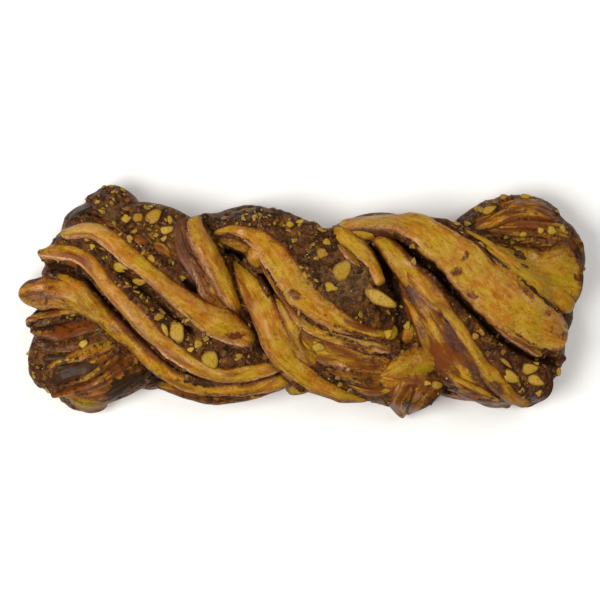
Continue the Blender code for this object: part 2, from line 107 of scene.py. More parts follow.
# The strips of dough. Width, and rise above the roll or above all rolls, are spread evenly along the route.
# Tone goes from golden, 0, to brown, 1; olive, red and plum tint the glaze; pale is a painted highlight along the left
# edge, on the side of the key light, and a few strips have one along the right edge too.
# Creases are grooves with painted shade in them, at shares of the half width. An end is round unless it is blunt or
# sunk in the filling.
STRIPS = {
    "collar": dict(
        on="band_one", group="one",
        route=[(-136, 39.5), (-117, 40), (-97, 27), (-76, 9.5), (-56, -7), (-38, -16), (-20, -22)],
        width=[9.5, 11.5, 10.5, 10.5, 13.5, 17, 9], rise=[3.5, 6, 6, 6, 5.5, 4.5, 2], tone=0.2, pale=0.8,
        crease=[-0.6], start="blunt", end="sunk"),
    "middle": dict(
        on="band_one", group="one",
        route=[(-149, 28.5), (-126, 26.5), (-108, 8.5), (-90, -11), (-70, -28), (-46, -41), (-22, -38), (-4, -30)],
        width=[8, 9.5, 10, 10, 10, 9.5, 9, 8], rise=[4, 5, 6, 6, 6, 5.5, 4.5, 3], tone=0.35, pale=1.0, red=0.2,
        start="blunt", end="sunk"),
    "outer": dict(
        on="band_one", group="one",
        route=[(-160, 4.5), (-149, 5.5), (-138, 5.5), (-127, 2.5), (-117, -4.5), (-107, -13.5), (-95, -24.5),
               (-80, -38), (-61, -48), (-38, -50.5), (-18, -47), (-2, -38)],
        width=[12, 17, 16, 11, 8.5, 8.5, 9, 9.5, 9, 8.5, 8], rise=[5, 7, 7, 6, 6, 6, 7, 6, 6, 5, 3],
        tone=0.4, pale=0.4, end="sunk"),
    "outer_top": dict(
        on="band_one", group="one", route=[(-138, 15), (-130, 12), (-122.5, 4.5), (-114, -4.5), (-104, -15)],
        width=[3, 7.5, 8.5, 8.5, 6], rise=[5, 8, 8, 7.5, 5], tone=0.35, pale=0.7),
    "outer_low": dict(
        on="band_one", group="one", route=[(-82, -45), (-66, -50), (-45, -54), (-24, -52.5), (-8, -45)],
        width=[5, 8, 9, 8, 5], rise=[1, 2.5, 3, 2.5, 1], tone=1.1, red=0.3, burnt=0.1, crease=[0.2]),
    "shoulder": dict(
        on="band_one", group="one", route=[(-61, 48), (-57, 38), (-51, 27), (-44.5, 13.5), (-37, 0), (-30, -8)],
        width=[9, 12.5, 13, 12, 10, 5], rise=[4, 6, 6, 6, 5, 1], tone=0.15, pale=0.5, crease=[-0.5],
        start="blunt", end="sunk"),
    "shoulder_flank": dict(
        on="band_one", group="one", sheet=True, route=[(-63, 30), (-57, 18), (-48, 4), (-35, -8)],
        width=[7, 11.5, 13, 8], rise=[1.5, 2.8, 3, 1], tone=1.0, red=0.5, burnt=0.4, pale=0.5, crease=[0.2]),
    "plum_sheet": dict(
        on="band_one", group="one", sheet=True, route=[(-69, 46), (-66, 34), (-60, 20), (-54, 8)],
        width=[7, 10, 9, 5], rise=[0.6, 1.2, 1.5, 0.5], tone=0.8, plum=0.75, red=0.3, crease=[0.1]),
    "corner_lump": dict(
        on="top", group="one", route=[(-97, 37.5), (-91, 35), (-85, 32.5)], width=[3, 5.5, 3], rise=[2, 3, 2],
        tone=0.65, red=0.5),
    "corner_bump": dict(
        on="top", group="one", route=[(-83, 33), (-77, 29.5), (-72, 25)], width=[4, 6.5, 3], rise=[2, 3, 1],
        tone=0.8, red=0.4),
    "corner_line": dict(
        on="top", group="one", route=[(-119, 48.5), (-108, 44), (-97, 36)], width=[2, 3, 2], rise=[2, 3, 2],
        tone=0.75, red=0.3),
    "loop": dict(
        on="band_two", group="two",
        route=[(-50, 38), (-38, 40.5), (-26, 36), (-16, 26), (-5, 9.5), (9, -4), (26, -13), (40, -17.5),
               (51, -18.5)],
        width=[4, 8, 13, 15, 17, 16, 12, 7, 7], rise=[1, 3.5, 5, 5.5, 5, 5, 4.5, 4, 3], tone=0.1, pale=1.0,
        olive=0.15, crease=[-0.72]),
    "loop_curl": dict(
        on="band_two", group="two", route=[(46, -20.5), (51, -18.5), (53, -13)], width=[5, 7, 4], rise=[3, 4.5, 3],
        tone=0.0, olive=0.9),
    "loop_root": dict(
        on="band_two", group="two", route=[(-47, 34.5), (-38, 32.5), (-29, 29.5)], width=[4, 7, 6], rise=[2, 3, 3],
        tone=0.5, stain=0.1),
    "loop_knob": dict(
        on="band_two", group="two", route=[(-28, 32), (-26, 26), (-24.5, 19)], width=[8, 10, 6],
        rise=[3, 5, 2], tone=0.2, pale=0.7, olive=0.2),
    "tongue": dict(
        on="band_two", group="two",
        route=[(-40, 24), (-32, 12), (-24, -2), (-17, -15), (-9, -30), (4, -43), (20, -51), (37, -56)],
        width=[9, 13, 15.5, 16, 15, 12, 8, 4], rise=[3, 6, 7, 7, 6, 5, 3, 1], tone=0.2, pale=0.45,
        upright=0.6, crease=[-0.62]),
    "tongue_side": dict(
        on="band_two", group="two", sheet=True, route=[(-15, 2), (-9.5, -10), (-2, -22), (7, -35)],
        width=[8, 16, 20, 15], rise=[1.5, 3.5, 4, 2.5], tone=0.45, red=0.2, square=1.3, brown=0.7),
    "loop_lip": dict(
        on="band_two", group="two", route=[(-23, 23), (-18, 13), (-11.5, 3), (-3.5, -7), (5, -14), (14, -20)],
        width=[2, 2.6, 2.4, 2.6, 2.4, 1.6], rise=[4, 5.5, 5, 5, 4.5, 3], tone=0.7, red=0.6, pale=1.0,
        right_highlight=1.0),
    "small_lip": dict(
        on="band_two", group="two", route=[(0, -13), (-1.5, -20), (1.5, -26), (8, -29)],
        width=[1.6, 2, 2, 1.4], rise=[4, 5.5, 5.5, 3], tone=0.5, red=0.3, pale=1.0, right_highlight=0.6),
    "under_loop_line": dict(
        on="band_two", group="two", route=[(-9, 0), (-1, -10.5), (8, -16), (17, -19.5), (29, -22.5), (41, -26),
                                           (51, -27)],
        width=[4, 6, 6.5, 6.5, 7, 7, 5], rise=[2, 3.5, 4, 4, 4, 3.5, 2], tone=0.3, pale=0.9, red=0.15),
    "leaf": dict(
        on="band_two", group="two", sheet=True, route=[(2, -21), (14, -27), (26, -31), (37, -34), (50, -35)],
        width=[8, 13, 16, 16, 10], rise=[2, 3, 3, 3, 2], tone=0.5, red=0.25, crease=[0.5, -0.1], pale=0.4),
    "hook": dict(
        on="band_two", group="two", upright=0.75, square=2.6,
        route=[(17, 42.3), (23.5, 36.5), (30.5, 30.5), (37.5, 24), (42, 16.5), (45, 9.5)],
        width=[5, 12, 12.5, 9, 7.5, 7], rise=[0.5, 3, 4.5, 5.5, 6, 6], tone=0.15, pale=0.7, red=0.1, end="blunt"),
    "hook_side": dict(
        on="band_two", group="two", route=[(20, 33), (26, 27), (33, 19)], width=[3, 6, 2], rise=[1.5, 3.5, 1],
        tone=0.6, red=0.4, pale=0.9),
    "lobe": dict(
        on="top", group="three", sheet=True, route=[(23, 41), (32, 38.5), (43, 37.5)],
        width=[6, 9, 7], rise=[4, 5.5, 5], tone=0.15, olive=0.8),
    "lump": dict(
        on="top", group="two", route=[(59, -11.5), (59.5, -17), (57, -24)], width=[6, 8.5, 5], rise=[4, 5, 3],
        tone=0.25, olive=0.4),
    "fold": dict(
        on="top", group="two", sheet=True, route=[(43, -41.5), (54, -38), (65, -34.5), (77, -34)],
        width=[5, 14, 21, 14], rise=[3, 5, 4.5, 2], tone=0.3, olive=0.4, crease=[-0.45, 0.3]),
    "fold_low": dict(
        on="top", group="two", sheet=True, route=[(42, -44), (53, -44.5), (64, -46.5), (73, -47)],
        width=[6, 11, 13, 8], rise=[2, 3, 3, 1.5], tone=0.9, pale=0.3, red=0.3, crease=[0.35]),
    "bud": dict(
        on="top", group="two", sheet=True, route=[(61, -43), (57, -50), (55, -57.5), (57.5, -66)],
        width=[16, 13, 10, 3], rise=[3, 4.5, 5, 4], square=1.8, tone=0.8, red=0.3, end="blunt",
        crease=[0.2]),
    "bud_side": dict(
        on="top", group="two", sheet=True, route=[(75, -42), (70, -50), (64.5, -57), (60, -64)],
        width=[14, 12, 9, 3], rise=[2, 3, 3.5, 3], square=1.8, tone=1.0, red=0.3, burnt=0.3, crease=[-0.1]),
    "crown": dict(
        on="band_three", group="three",
        route=[(20, 43.5), (38, 45.8), (56, 45.5), (72, 37), (90, 22.5), (107, 6.4), (126.6, -9.4), (150, -19.6)],
        width=[9, 14, 15.5, 21, 25, 27, 25, 20], rise=[3, 5, 5.5, 6, 6, 6, 6, 4], tone=0.05, pale=0.3,
        right_highlight=1.0, brown=0.3, square=3.2, end="blunt"),
    "crown_lip": dict(
        on="band_three", group="three", route=[(100, -4), (111, -14.5), (121, -21.5), (135, -30)],
        width=[3, 5, 6.5, 5], rise=[2, 3.5, 4, 2.5], tone=0.5, pale=0.6, red=0.2),
    "edge": dict(
        on="top", group="three", sheet=True,
        route=[(91, 40.3), (101, 34.4), (108, 29), (114.2, 24.8), (121.4, 19.4), (131.8, 11.6), (142, 3.8),
               (152.5, -4.5)],
        width=[2.5, 4, 4.5, 5.5, 7.5, 9, 9.5, 9], rise=[4, 6.5, 7.5, 7.5, 7.5, 7.5, 7, 5], square=2.6, tone=0.1,
        olive=0.5, brown=0.3),
    "strand": dict(
        on="band_three", group="three", route=[(41, 37), (47.5, 30.5), (54, 22), (60, 12), (65, 3)],
        width=[8, 10, 11.5, 11, 8], rise=[4, 5.5, 5.5, 4, 2], tone=0.3, olive=0.35, start="blunt", end="sunk"),
    "line": dict(
        on="band_three", group="three",
        route=[(56, 21), (65, 11.5), (74, 1), (84, -10.5), (92, -21.5), (101, -35), (110, -46.5), (120, -54.5),
               (129, -58)],
        width=[6, 10, 9, 6.5, 6.5, 7.5, 10, 10, 6], rise=[4, 6, 6, 5.5, 5, 5, 4.5, 3.5, 1], tone=0.35, olive=0.15,
        pale=0.5, red=0.1),
    "right_corner": dict(
        on="top", group="three", sheet=True, square=1.3, route=[(136, -38), (136, -47), (132, -55), (126, -59.5)],
        width=[6, 9, 9, 5], rise=[0.5, 1.2, 1.2, 0.6], tone=1.2, red=0.4, burnt=0.7, crease=[-0.2, 0.4]),
    "corner_dark": dict(
        on="top", group="one", sheet=True, square=1.4, route=[(-132, 45.5), (-126, 50.5), (-117, 54.5)],
        width=[7, 9, 7], rise=[0.8, 2, 1], tone=1.5, burnt=1.2, crease=[0.1]),
    "broad": dict(
        on="top", group="three", sheet=True,
        route=[(57, 16), (65, 1), (74, -13), (83, -27), (94, -41), (108, -53)], width=[10, 18, 23, 24, 20, 10],
        rise=[2.5, 4, 4, 3.5, 3, 1], tone=0.8, red=0.45, crease=[-0.5, 0.15]),
    "left_strand": dict(
        on="band_three", group="three", route=[(56, 3), (61, -4), (65, -13), (69, -24), (75, -33)],
        width=[3, 5, 6, 6, 4], rise=[2, 4, 4.5, 4, 2], tone=0.7, pale=0.9, red=0.4),
    "foot_line": dict(
        on="band_three", group="three", route=[(84, -42.5), (92, -46), (101, -50), (111, -55.5)],
        width=[3, 3.5, 3.5, 2], rise=[4, 5, 4.5, 3], tone=0.3, pale=0.8),
    "foot_red": dict(
        on="band_three", group="three", route=[(78, -37), (88, -42.5), (99, -47)], width=[3, 6, 3],
        rise=[1, 2, 1], tone=0.8, red=0.7),
    "foot_low": dict(
        on="top", group="three", sheet=True, route=[(86, -52.5), (96, -54.5), (105, -56), (113, -56.5)],
        width=[6, 9, 8, 4], rise=[1, 2, 2, 0.5], tone=0.9, red=0.5, stain=0.1, crease=[0.0]),
    "fan": dict(
        on="top", group="fan", sheet=True, route=[(100, 33), (116, 24), (131, 16.5), (145, 12.5), (158, 11)],
        width=[5, 20, 36, 42, 38], rise=[4, 7.5, 8, 7, 4], tone=0.15, olive=0.6, square=2.0, brown=0.9,
        crease=[-0.7, -0.42, -0.15, 0.12, 0.4, 0.66]),
    "orange": dict(
        on="under_three", group="fan", route=[(95, 40), (104, 44), (113, 48), (123, 50.5), (133, 50), (143, 47.5)],
        width=[3, 7, 8.5, 9, 9, 5], rise=[4, 5, 5, 4.5, 4, 2], tone=0.8, red=0.25, crease=[-0.3, 0.45]),
    "tail_one": dict(
        on="under_one", group="tail", route=[(-156, -9.5), (-145, -7.5), (-132, -5), (-118, -2.5)],
        width=[4.5, 4.5, 5, 6], rise=[2, 4, 4, 3], tone=0.7, pale=0.6, red=0.3, start="blunt"),
    "tail_bump": dict(
        on="top", group="tail", route=[(-149, -17), (-138, -16.5), (-125, -19)], width=[6, 10, 5],
        rise=[1, 3, 1], tone=0.9, red=1.0),
    "tail_two": dict(
        on="under_one", group="tail", route=[(-143, -37), (-131, -32.5), (-121, -28.5), (-111, -25), (-101, -20)],
        width=[3, 5.5, 8.5, 8.5, 4], rise=[2, 4, 4, 3, 1], tone=0.2, olive=0.3, pale=0.5, crease=[-0.3]),
    "tail_slab": dict(
        on="under_one", group="tail", route=[(-144, -45.5), (-131, -41), (-119, -36), (-106, -28)],
        width=[8, 12.5, 10, 7], rise=[1, 2.2, 2.2, 1], tone=1.0, slab=1.0),
    "tail_three": dict(
        on="under_one", group="tail", route=[(-131, -46.5), (-119, -42), (-108, -34.5), (-99, -25.5)],
        width=[3, 4.5, 6, 5], rise=[2, 3, 3, 1], tone=0.9, red=0.2, crease=[0.1]),
    "tail_four": dict(
        on="under_one", group="tail", route=[(-142, -53), (-127, -50), (-115, -45), (-104, -38), (-92, -27)],
        width=[4, 5, 5, 6, 6], rise=[2, 4, 4, 3.5, 2], tone=1.0, red=0.7, crease=[0.0]),
    "tail_tip": dict(
        on="under_one", group="tail", sheet=True, route=[(-131, -53), (-122, -58), (-110, -57.5)],
        width=[8, 11, 7], rise=[1, 2.5, 1], tone=0.8, olive=0.6, crease=[0.2]),
    "tail_corner": dict(
        on="top", group="tail", sheet=True, route=[(-89, -49), (-79, -45), (-68, -45.5)], width=[6, 10, 7],
        rise=[1, 2, 1], tone=0.7, crease=[-0.2]),
}

# Families of thin layers that fan out between a first and a last route.
LAYERS = {
    "tail": dict(first=[(-154, -14), (-138, -14), (-121, -11), (-107, -5)],
                 last=[(-130, -59), (-117, -57), (-104, -51), (-88, -41)], count=12, width=11, rise=2.4, tone=1.3,
                 burnt=0.9),
    "fan": dict(first=[(99, 39), (118, 33.5), (136, 31), (156, 27)],
                last=[(96, 47), (110, 55), (125, 59.5), (140, 55)], count=10, width=8, rise=2.8, tone=1.1,
                burnt=0.7),
    "two": dict(first=[(10, -26), (24, -32), (38, -37), (52, -38)],
                last=[(14, -44), (26, -48), (39, -50), (52, -50)], count=6, width=9, rise=2.4, tone=1.0,
                burnt=0.6),
    "three": dict(first=[(83, -47), (95, -50), (108, -54), (122, -58)],
                  last=[(82, -53), (95, -56.5), (107, -58), (118, -59)], count=4, width=7, rise=2.2, tone=1.0,
                  burnt=0.6),
}

# The deep gaps between the strips, the same as in the solid.
GAPS = {
    "under_crown": dict(route=[(43, 40), (62, 28.5), (84, 8.5), (106, -14), (128, -29), (150, -36)],
                        width=[4.5, 5.5, 6, 6.5, 4], depth=7.5),
    "beside_shoulder": dict(route=[(-68, 14), (-58, 4), (-46, -6), (-30, -13)], width=[3, 5, 4], depth=6),
    "under_collar": dict(route=[(-103, 20), (-88, 6.5), (-74, -5), (-58, -19)], width=[2, 2.5, 2], depth=3),
    "beside_outer": dict(route=[(-149, 19), (-128, 18.5), (-112, 3), (-93, -17.5), (-72, -36), (-46, -46)],
                         width=[4, 3, 2], depth=4),
    "under_finger": dict(route=[(-160, -4), (-140, -3.5), (-122, 1)], width=[5, 4, 3], depth=10),
    "behind_tongue": dict(route=[(-44, 27.5), (-38, 27), (-31.5, 24.5)], width=[5, 6, 4], depth=10),
    "beside_tongue": dict(route=[(-24, 16.5), (-16, 7), (-8, -6)], width=[3, 4, 3], depth=6),
    "beside_hook": dict(route=[(37, 34), (45.5, 22), (52, 6)], width=[3, 5, 4], depth=5),
}

# Flaked almonds: place, length, width and turn in degrees, the largest first. One is tucked in lower by a drop.
FLAKES = [
    (43.7, 1.7, 19, 8.4, -25), (-1.5, -48, 14, 8, 0, 14), (23, 18, 12.3, 9.5, 70), (-69.4, -16.8, 12, 9, -70),
    (-50.9, -32.5, 11, 9, -60), (130.5, -43.7, 11, 5.5, -20), (105.3, 51.5, 10, 4.5, 25), (-82.3, 47.6, 9, 8, 40),
    (116, -41.5, 11, 6.5, -30), (-100.7, 19, 10, 6, -10), (9.6, -25.2, 8, 5, -10), (127.7, -37, 9, 6, 10),
    (76, -46.5, 7, 4.5, 10), (70.5, -45.5, 4.5, 3, 0), (-89.5, 11.5, 8, 4.5, 5),
    (-75, 39.8, 8, 4.5, 15), (11.3, 26.9, 7, 5.6, 20), (16.3, 7.8, 7, 5, 0), (-79.5, -8.4, 6.7, 4, 20),
    (140, 39.8, 6.7, 4.5, -15), (-91.8, 47, 6, 6, 0), (48.2, -17.4, 6, 5, 30), (126.6, 59.0, 6, 3.4, 0),
    (-98, 46.5, 6, 5, 10), (-122, -23, 5.6, 4.5, 30), (59.4, -12.9, 5, 4, 60),
    (-57.6, -23.5, 5, 4.5, 0), (113.7, 58.8, 5, 3.4, 10), (123.8, 38, 4.5, 3.5, 0), (133, -51, 4.5, 4, 45),
    (-76, -15.7, 9, 3, -65), (14, 33, 4.5, 4, 0), (-61.5, -26.3, 4, 3.4, 0), (-73.3, 45.9, 3.6, 3.4, 0),
    (-117, 30.8, 3.6, 3.4, 0), (-66.6, 13.4, 4.5, 3.4, 0), (96.4, -19, 4.5, 4, 0), (93, 43.7, 4, 3.4, 0),
    (133.9, 39.8, 4, 4, 0), (-6.7, 43.1, 5, 3, 0), (-1, 44.8, 5, 3, 20), (-35.8, -31, 5, 4, 30),
    (113.5, -34, 8, 2.5, -40), (146.5, 41, 5, 3, -60), (99, 52.5, 4, 3, 20), (-83, 24, 5, 3, -50),
]

# Patches on dough and filling: kind, place, length, width, turn in degrees and strength.
PATCHES = [
    ("stain", 91.3, 27, 5, 5, 0, 0.9), ("stain", 85.7, 16.2, 8, 6, 20, 1.0), ("stain", 94, 3.8, 9, 4, -30, 0.9),
    ("stain", 125, 5.5, 14, 4, -45, 0.8), ("stain", 137, -6, 8, 4, -10, 0.8), ("stain", -3.9, 3.9, 8, 6, -30, 1.0),
    ("stain", -42, 37, 9, 4.5, 10, 0.9), ("stain", -31.5, 34, 8, 3.5, -10, 0.7), ("stain", -37.5, -19, 12, 4.5, 0, 1.0),
    ("stain", 41, -34, 10, 8, 20, 0.9), ("stain", 31, -26, 22, 3.5, -16, 0.7), ("stain", 30, -17.5, 22, 2.5, -14, 0.8),
    ("stain", 148, -19, 8, 9, 60, 0.6), ("stain", 13, -7, 2, 2, 0, 0.9), ("stain", 121, -19, 20, 2, -35, 0.8),
    ("stain", 58.7, -57, 6, 7, 0, 0.9), ("stain", 57, -22.3, 2.4, 2.4, 0, 1.0), ("stain", 60, -47.5, 16, 3, 8, 0.7),
    ("stain", 77, -7, 3, 8, 25, 0.9), ("stain", 66, -2, 5, 5, 0, 0.5), ("stain", -60, 32, 3, 4, 0, 0.5),
    ("stain", -141, 8, 12, 5, -10, 0.6), ("red", -130, 26, 28, 8, -20, 0.9),
    ("red", -145, 6, 26, 14, 0, 0.5), ("red", 42.5, 36.5, 7, 6, 0, 0.9), ("stain", 41.5, 38, 4, 3, 0, 0.8),
    ("burnt", 135, 35, 44, 14, -10, 0.5), ("burnt", 157, 18, 5, 34, 0, 0.6), ("burnt", 142, -17, 12, 8, -40, 0.3),
    ("red", 156, 14, 5, 26, 0, 0.8), ("stain", 154, 14, 5, 6, 0, 0.7), ("stain", 120, 26, 9, 3, -25, 0.6),
    ("plum", -40, 37, 14, 5, 0, 0.6), ("red", -9, -7, 9, 12, 30, 0.8), ("red", -30, 3, 4, 26, 25, 0.5),
    ("plum", 60.5, 4.5, 7, 13, 25, 1.0), ("plum", 84, -21, 9, 26, 32, 1.0), ("plum", -64, 31, 8, 18, 20, 0.9),
    ("plum", 66, -14, 5, 20, 15, 0.6), ("plum", -117, 11, 3, 22, 38, 0.7), ("plum", 96, -39, 8, 20, 35, 1.0),
    ("plum", 107, -48, 8, 16, 50, 1.0), ("red", 78, -29, 14, 24, 30, 1.0), ("red", 96, -14, 7, 8, 0, 0.9), ("red", -136, -17, 18, 9, 0, 1.0),
    ("red", -90, 34.5, 10, 4, -20, 0.8), ("red", -48, 10, 6, 26, 30, 0.8), ("red", 24, -23, 18, 3, -20, 0.8),
    ("red", 113, 48, 16, 4, 15, 0.5), ("red", -103, -36, 14, 10, 30, 0.5), ("red", 97, -53, 20, 4, -8, 0.8),
    ("olive", 68, -38, 8, 9, 0, 1.0), ("olive", 40, -14.5, 20, 6, -20, 1.0), ("olive", 7, 4, 30, 7, -42, 0.5),
    ("olive", 50, -15, 6, 5, 20, 1.0), ("olive", 60, -13.5, 6, 4, 20, 1.0), ("olive", 38, 36.5, 12, 4, 0, 0.8),
    ("olive", 108, 15, 20, 10, -40, 0.5), ("olive", 53, 25, 10, 6, -50, 0.6), ("olive", -21, 14, 8, 6, 0, 0.5),
    # Pale patches are painted highlights on the glazed dough.
    ("pale", -34, 39, 5, 4, 0, 0.8), ("pale", -1, -30, 6, 6, 0, 0.3), ("pale", 64, 34, 8, 5, -30, 0.5),
    ("pale", 23, -36, 10, 2, -30, 1.0), ("pale", -148, 8, 9, 4, 10, 0.7), ("pale", 60, 21, 12, 3, -25, 0.7),
    ("pale", 44, -28, 10, 3, -12, 0.6), ("pale", -25, 28, 5, 6, 0, 0.6), ("pale", 129, 25.5, 4, 3, 0, 0.8),
    ("grey", -125, -12, 24, 8, 5, 0.5), ("grey", 25, 10, 34, 30, 0, 0.6), ("grey", -107, 50, 8, 18, 20, 0.5),
    ("grey", 77, -47, 10, 7, 0, 1.0), ("grey", -147, -12, 14, 5, 5, 1.0),
    # Dark patches darken the filling: darker chocolate, and painted shade where they lie in the gaps beside the strips.
    ("dark", 55, 0, 8, 34, 8, 1.0), ("dark", -125, 50, 16, 8, 0, 0.9), ("dark", -92, -42, 26, 12, 20, 0.8),
    ("dark", -55, 8, 12, 20, 35, 0.9), ("dark", -22, -25, 14, 8, 0, 0.8), ("dark", 15, -42, 34, 12, -20, 0.6),
    ("dark", 92, -49, 24, 6, -8, 0.8), ("dark", -25, 49, 40, 6, 0, 0.8), ("dark", 130, 56, 18, 3, 0, 0.9),
    ("burnt", -122, -34, 70, 56, 0, 0.45), ("burnt", -143, 1, 30, 8, 0, 0.35), ("burnt", 62, -56, 22, 16, 0, 0.3),
    ("burnt", 59, -57, 5, 6, 0, 0.9), ("burnt", 30, -42, 34, 12, -15, 0.5), ("burnt", 100, -56, 34, 8, -5, 0.5),
    ("burnt", -45, -54, 64, 8, 0, 0.6), ("burnt", 125, 52, 50, 14, 0, 0.3), ("burnt", 134, -50, 12, 16, 0, 0.5),
    ("burnt", -95, -48, 36, 19, 20, 1.3), ("burnt", -131, -40, 22, 14, 15, 1.0), ("burnt", -145, -13, 22, 8, 5, 1.0),
    ("burnt", -101, -27, 14, 12, 0, 0.7), ("olive", -123, -57, 14, 9, 0, 1.0), ("olive", -78, -45, 10, 8, 0, 0.6),
    ("red", 34, -14.5, 30, 4, -18, 0.9), ("stain", 45, -21, 14, 3, -15, 0.8), ("red", -3, -38, 18, 12, -45, 0.4),
    # Thin burnt lines along the grooves beside the loop and beside the crown are painted shade, not crust.
    ("olive", 48, 43, 30, 10, 0, 0.4), ("burnt", 22, -20, 26, 2.5, -15, 0.7), ("burnt", 44, -29.5, 16, 3.5, -8, 0.8),
    ("burnt", 104, 27, 36, 1.9, -40, 1.2), ("burnt", 131, 4.7, 42, 1.9, -40, 1.2), ("red", 118, 15.5, 76, 4, -40, 0.5),
    ("plum", 38, -25.5, 28, 3, -10, 0.8), ("plum", 33, -31, 26, 4, -12, 0.7), ("pale", 33, -21.5, 30, 1.6, -13, 0.5),
    ("pale", -98, -3, 56, 5, -50, 0.35), ("pale", -121, 41, 30, 6, -5, 0.4), ("pale", -60, -34, 44, 4, -25, 0.3),
    ("red", -122, -51, 24, 6, 12, 0.9), ("plum", -146, 4, 24, 11, 0, 0.65), ("pale", 132, -2, 34, 5, -36, 0.25),
    ("burnt", -56, -45.5, 30, 4.5, -12, 0.9), ("stain", 21, -14, 22, 3, -26, 0.6), ("olive", -29, 40, 9, 6, 0, 0.6),
]
PATCH_KINDS = ["stain", "plum", "red", "olive", "pale", "grey", "dark", "burnt"]


def smooth_value(values, share):
    """Values at shares of the way along a list, on a smooth curve through evenly spaced values."""
    values = np.asarray(values, float)
    place = np.clip(share, 0, 1) * (len(values) - 1)
    index = np.minimum(place.astype(int), len(values) - 2)
    part = place - index
    before = values[np.maximum(index - 1, 0)]
    start = values[index]
    end = values[index + 1]
    after = values[np.minimum(index + 2, len(values) - 1)]
    slope_in = (end - before) / 2
    slope_out = (after - start) / 2
    return ((2 * part**3 - 3 * part**2 + 1) * start + (part**3 - 2 * part**2 + part) * slope_in
            + (3 * part**2 - 2 * part**3) * end + (part**3 - part**2) * slope_out)


def smooth_route(points, pieces=12):
    """A dense line in plan through the points, and the length run so far at each of its points."""
    points = np.asarray(points, float)
    parts = np.arange(pieces)[:, None] / pieces
    dense = []
    for index in range(len(points) - 1):
        before = points[max(index - 1, 0)]
        start = points[index]
        end = points[index + 1]
        after = points[min(index + 2, len(points) - 1)]
        dense.append(0.5 * (2 * start + (end - before) * parts
                            + (2 * before - 5 * start + 4 * end - after) * parts**2
                            + (3 * start - before - 3 * end + after) * parts**3))
    dense = np.concatenate(dense + [points[-1:]])
    runs = np.concatenate([[0], np.cumsum(np.linalg.norm(np.diff(dense, axis=0), axis=1))])
    return dense, runs


def place_on(line, distances):
    """Points and directions at distances along a dense line."""
    dense, runs = line
    points = np.stack([np.interp(distances, runs, dense[:, axis]) for axis in range(2)], 1)
    ahead = np.stack([np.interp(distances + 1, runs, dense[:, axis]) for axis in range(2)], 1)
    behind = np.stack([np.interp(distances - 1, runs, dense[:, axis]) for axis in range(2)], 1)
    along = ahead - behind
    return points, along / np.linalg.norm(along, axis=1, keepdims=True)


def nearest_on(line, plan):
    """How far the nearest point of a line is from each place in plan, and its share of the way along."""
    dense, runs = line
    best = np.full(len(plan), np.inf)
    share = np.zeros(len(plan))
    for index in range(len(dense) - 1):
        step = dense[index + 1] - dense[index]
        part = np.clip((plan - dense[index]) @ step / (step @ step), 0, 1)
        distance = np.linalg.norm(plan - dense[index] - part[:, None] * step, axis=1)
        closer = distance < best
        best[closer] = distance[closer]
        share[closer] = (runs[index] + part[closer] * (runs[index + 1] - runs[index])) / runs[-1]
    return best, share


def add_layers():
    """Adds every family of thin layers to the strips, each layer with its own width, height and tone."""
    draws = np.random.default_rng(5)
    for group, family in LAYERS.items():
        first = np.array(family["first"], float)
        last = np.array(family["last"], float)
        for index in range(family["count"]):
            share = (index + 0.5 + draws.uniform(-0.3, 0.3)) / family["count"]
            start = int(draws.integers(2))
            route = (first * (1 - share) + last * share + draws.normal(size=first.shape) * 0.7)[start:]
            width = family["width"] * draws.uniform(0.5, 1.0)
            rise = family["rise"] * draws.uniform(0.5, 1.0)
            STRIPS[f"{group}_layer_{index}"] = dict(
                on="top", group=group, sheet=True, square=draws.uniform(1.4, 2.0), route=route.tolist(),
                width=[width * 0.5, width, width, width * 0.6],
                rise=[rise * 0.6, rise, rise, rise * 0.4], tone=family["tone"] + draws.uniform(-0.6, 0.3),
                red=draws.uniform(-0.5, 0.8), olive=draws.uniform(-0.3, 0.4), pale=draws.uniform(0, 0.3),
                slab=draws.uniform(-0.8, 0.6), burnt=draws.uniform(-0.6, family["burnt"]))


add_layers()
ROLL_LINES = {name: smooth_route(roll["route"]) for name, roll in ROLLS.items()}
STRIP_LINES = {name: smooth_route(strip["route"]) for name, strip in STRIPS.items()}


def roll_top(name, plan, outside=None):
    """The height of a roll's upper face over places in plan, held level past its sides unless told otherwise."""
    roll = ROLLS[name]
    distance, share = nearest_on(ROLL_LINES[name], plan)
    across = distance / smooth_value(roll["half_width"], share)
    bulge = (1 - np.minimum(across, 0.97)**ROLL_FULLNESS)**(1 / ROLL_FULLNESS)
    height = smooth_value(roll["middle"], share) + roll["half_thickness"] * bulge
    return height if outside is None else np.where(across < 1, height, outside)


def mound_top(name, plan):
    """The height of a mound over places in plan, and zero outside it."""
    x, y, half_length, half_width, top = MOUNDS[name]
    across = np.hypot((plan[:, 0] - x) / half_length, (plan[:, 1] - y) / half_width)
    return np.where(across < 1, top * (0.45 + 0.55 * np.sqrt(np.maximum(1 - across**2, 0))), 0)


def highest_top(plan):
    """The height of the highest roll or mound over places in plan."""
    heights = [roll_top(name, plan, 0.0) for name in ROLLS] + [mound_top(name, plan) for name in MOUNDS]
    return np.maximum(np.max(heights, axis=0), 10)


def make_top_map():
    """The highest top on a grid of one millimetre, averaged over a small neighbourhood."""
    across, along = np.meshgrid(np.arange(-MAP_REACH[0], MAP_REACH[0] + 1),
                                np.arange(-MAP_REACH[1], MAP_REACH[1] + 1), indexing="ij")
    heights = highest_top(np.column_stack([across.ravel(), along.ravel()]).astype(float)).reshape(across.shape)
    for _ in range(5):
        for axis in range(2):
            heights = (np.roll(heights, 1, axis) + 2 * heights + np.roll(heights, -1, axis)) / 4
    return heights


TOP_MAP = make_top_map()


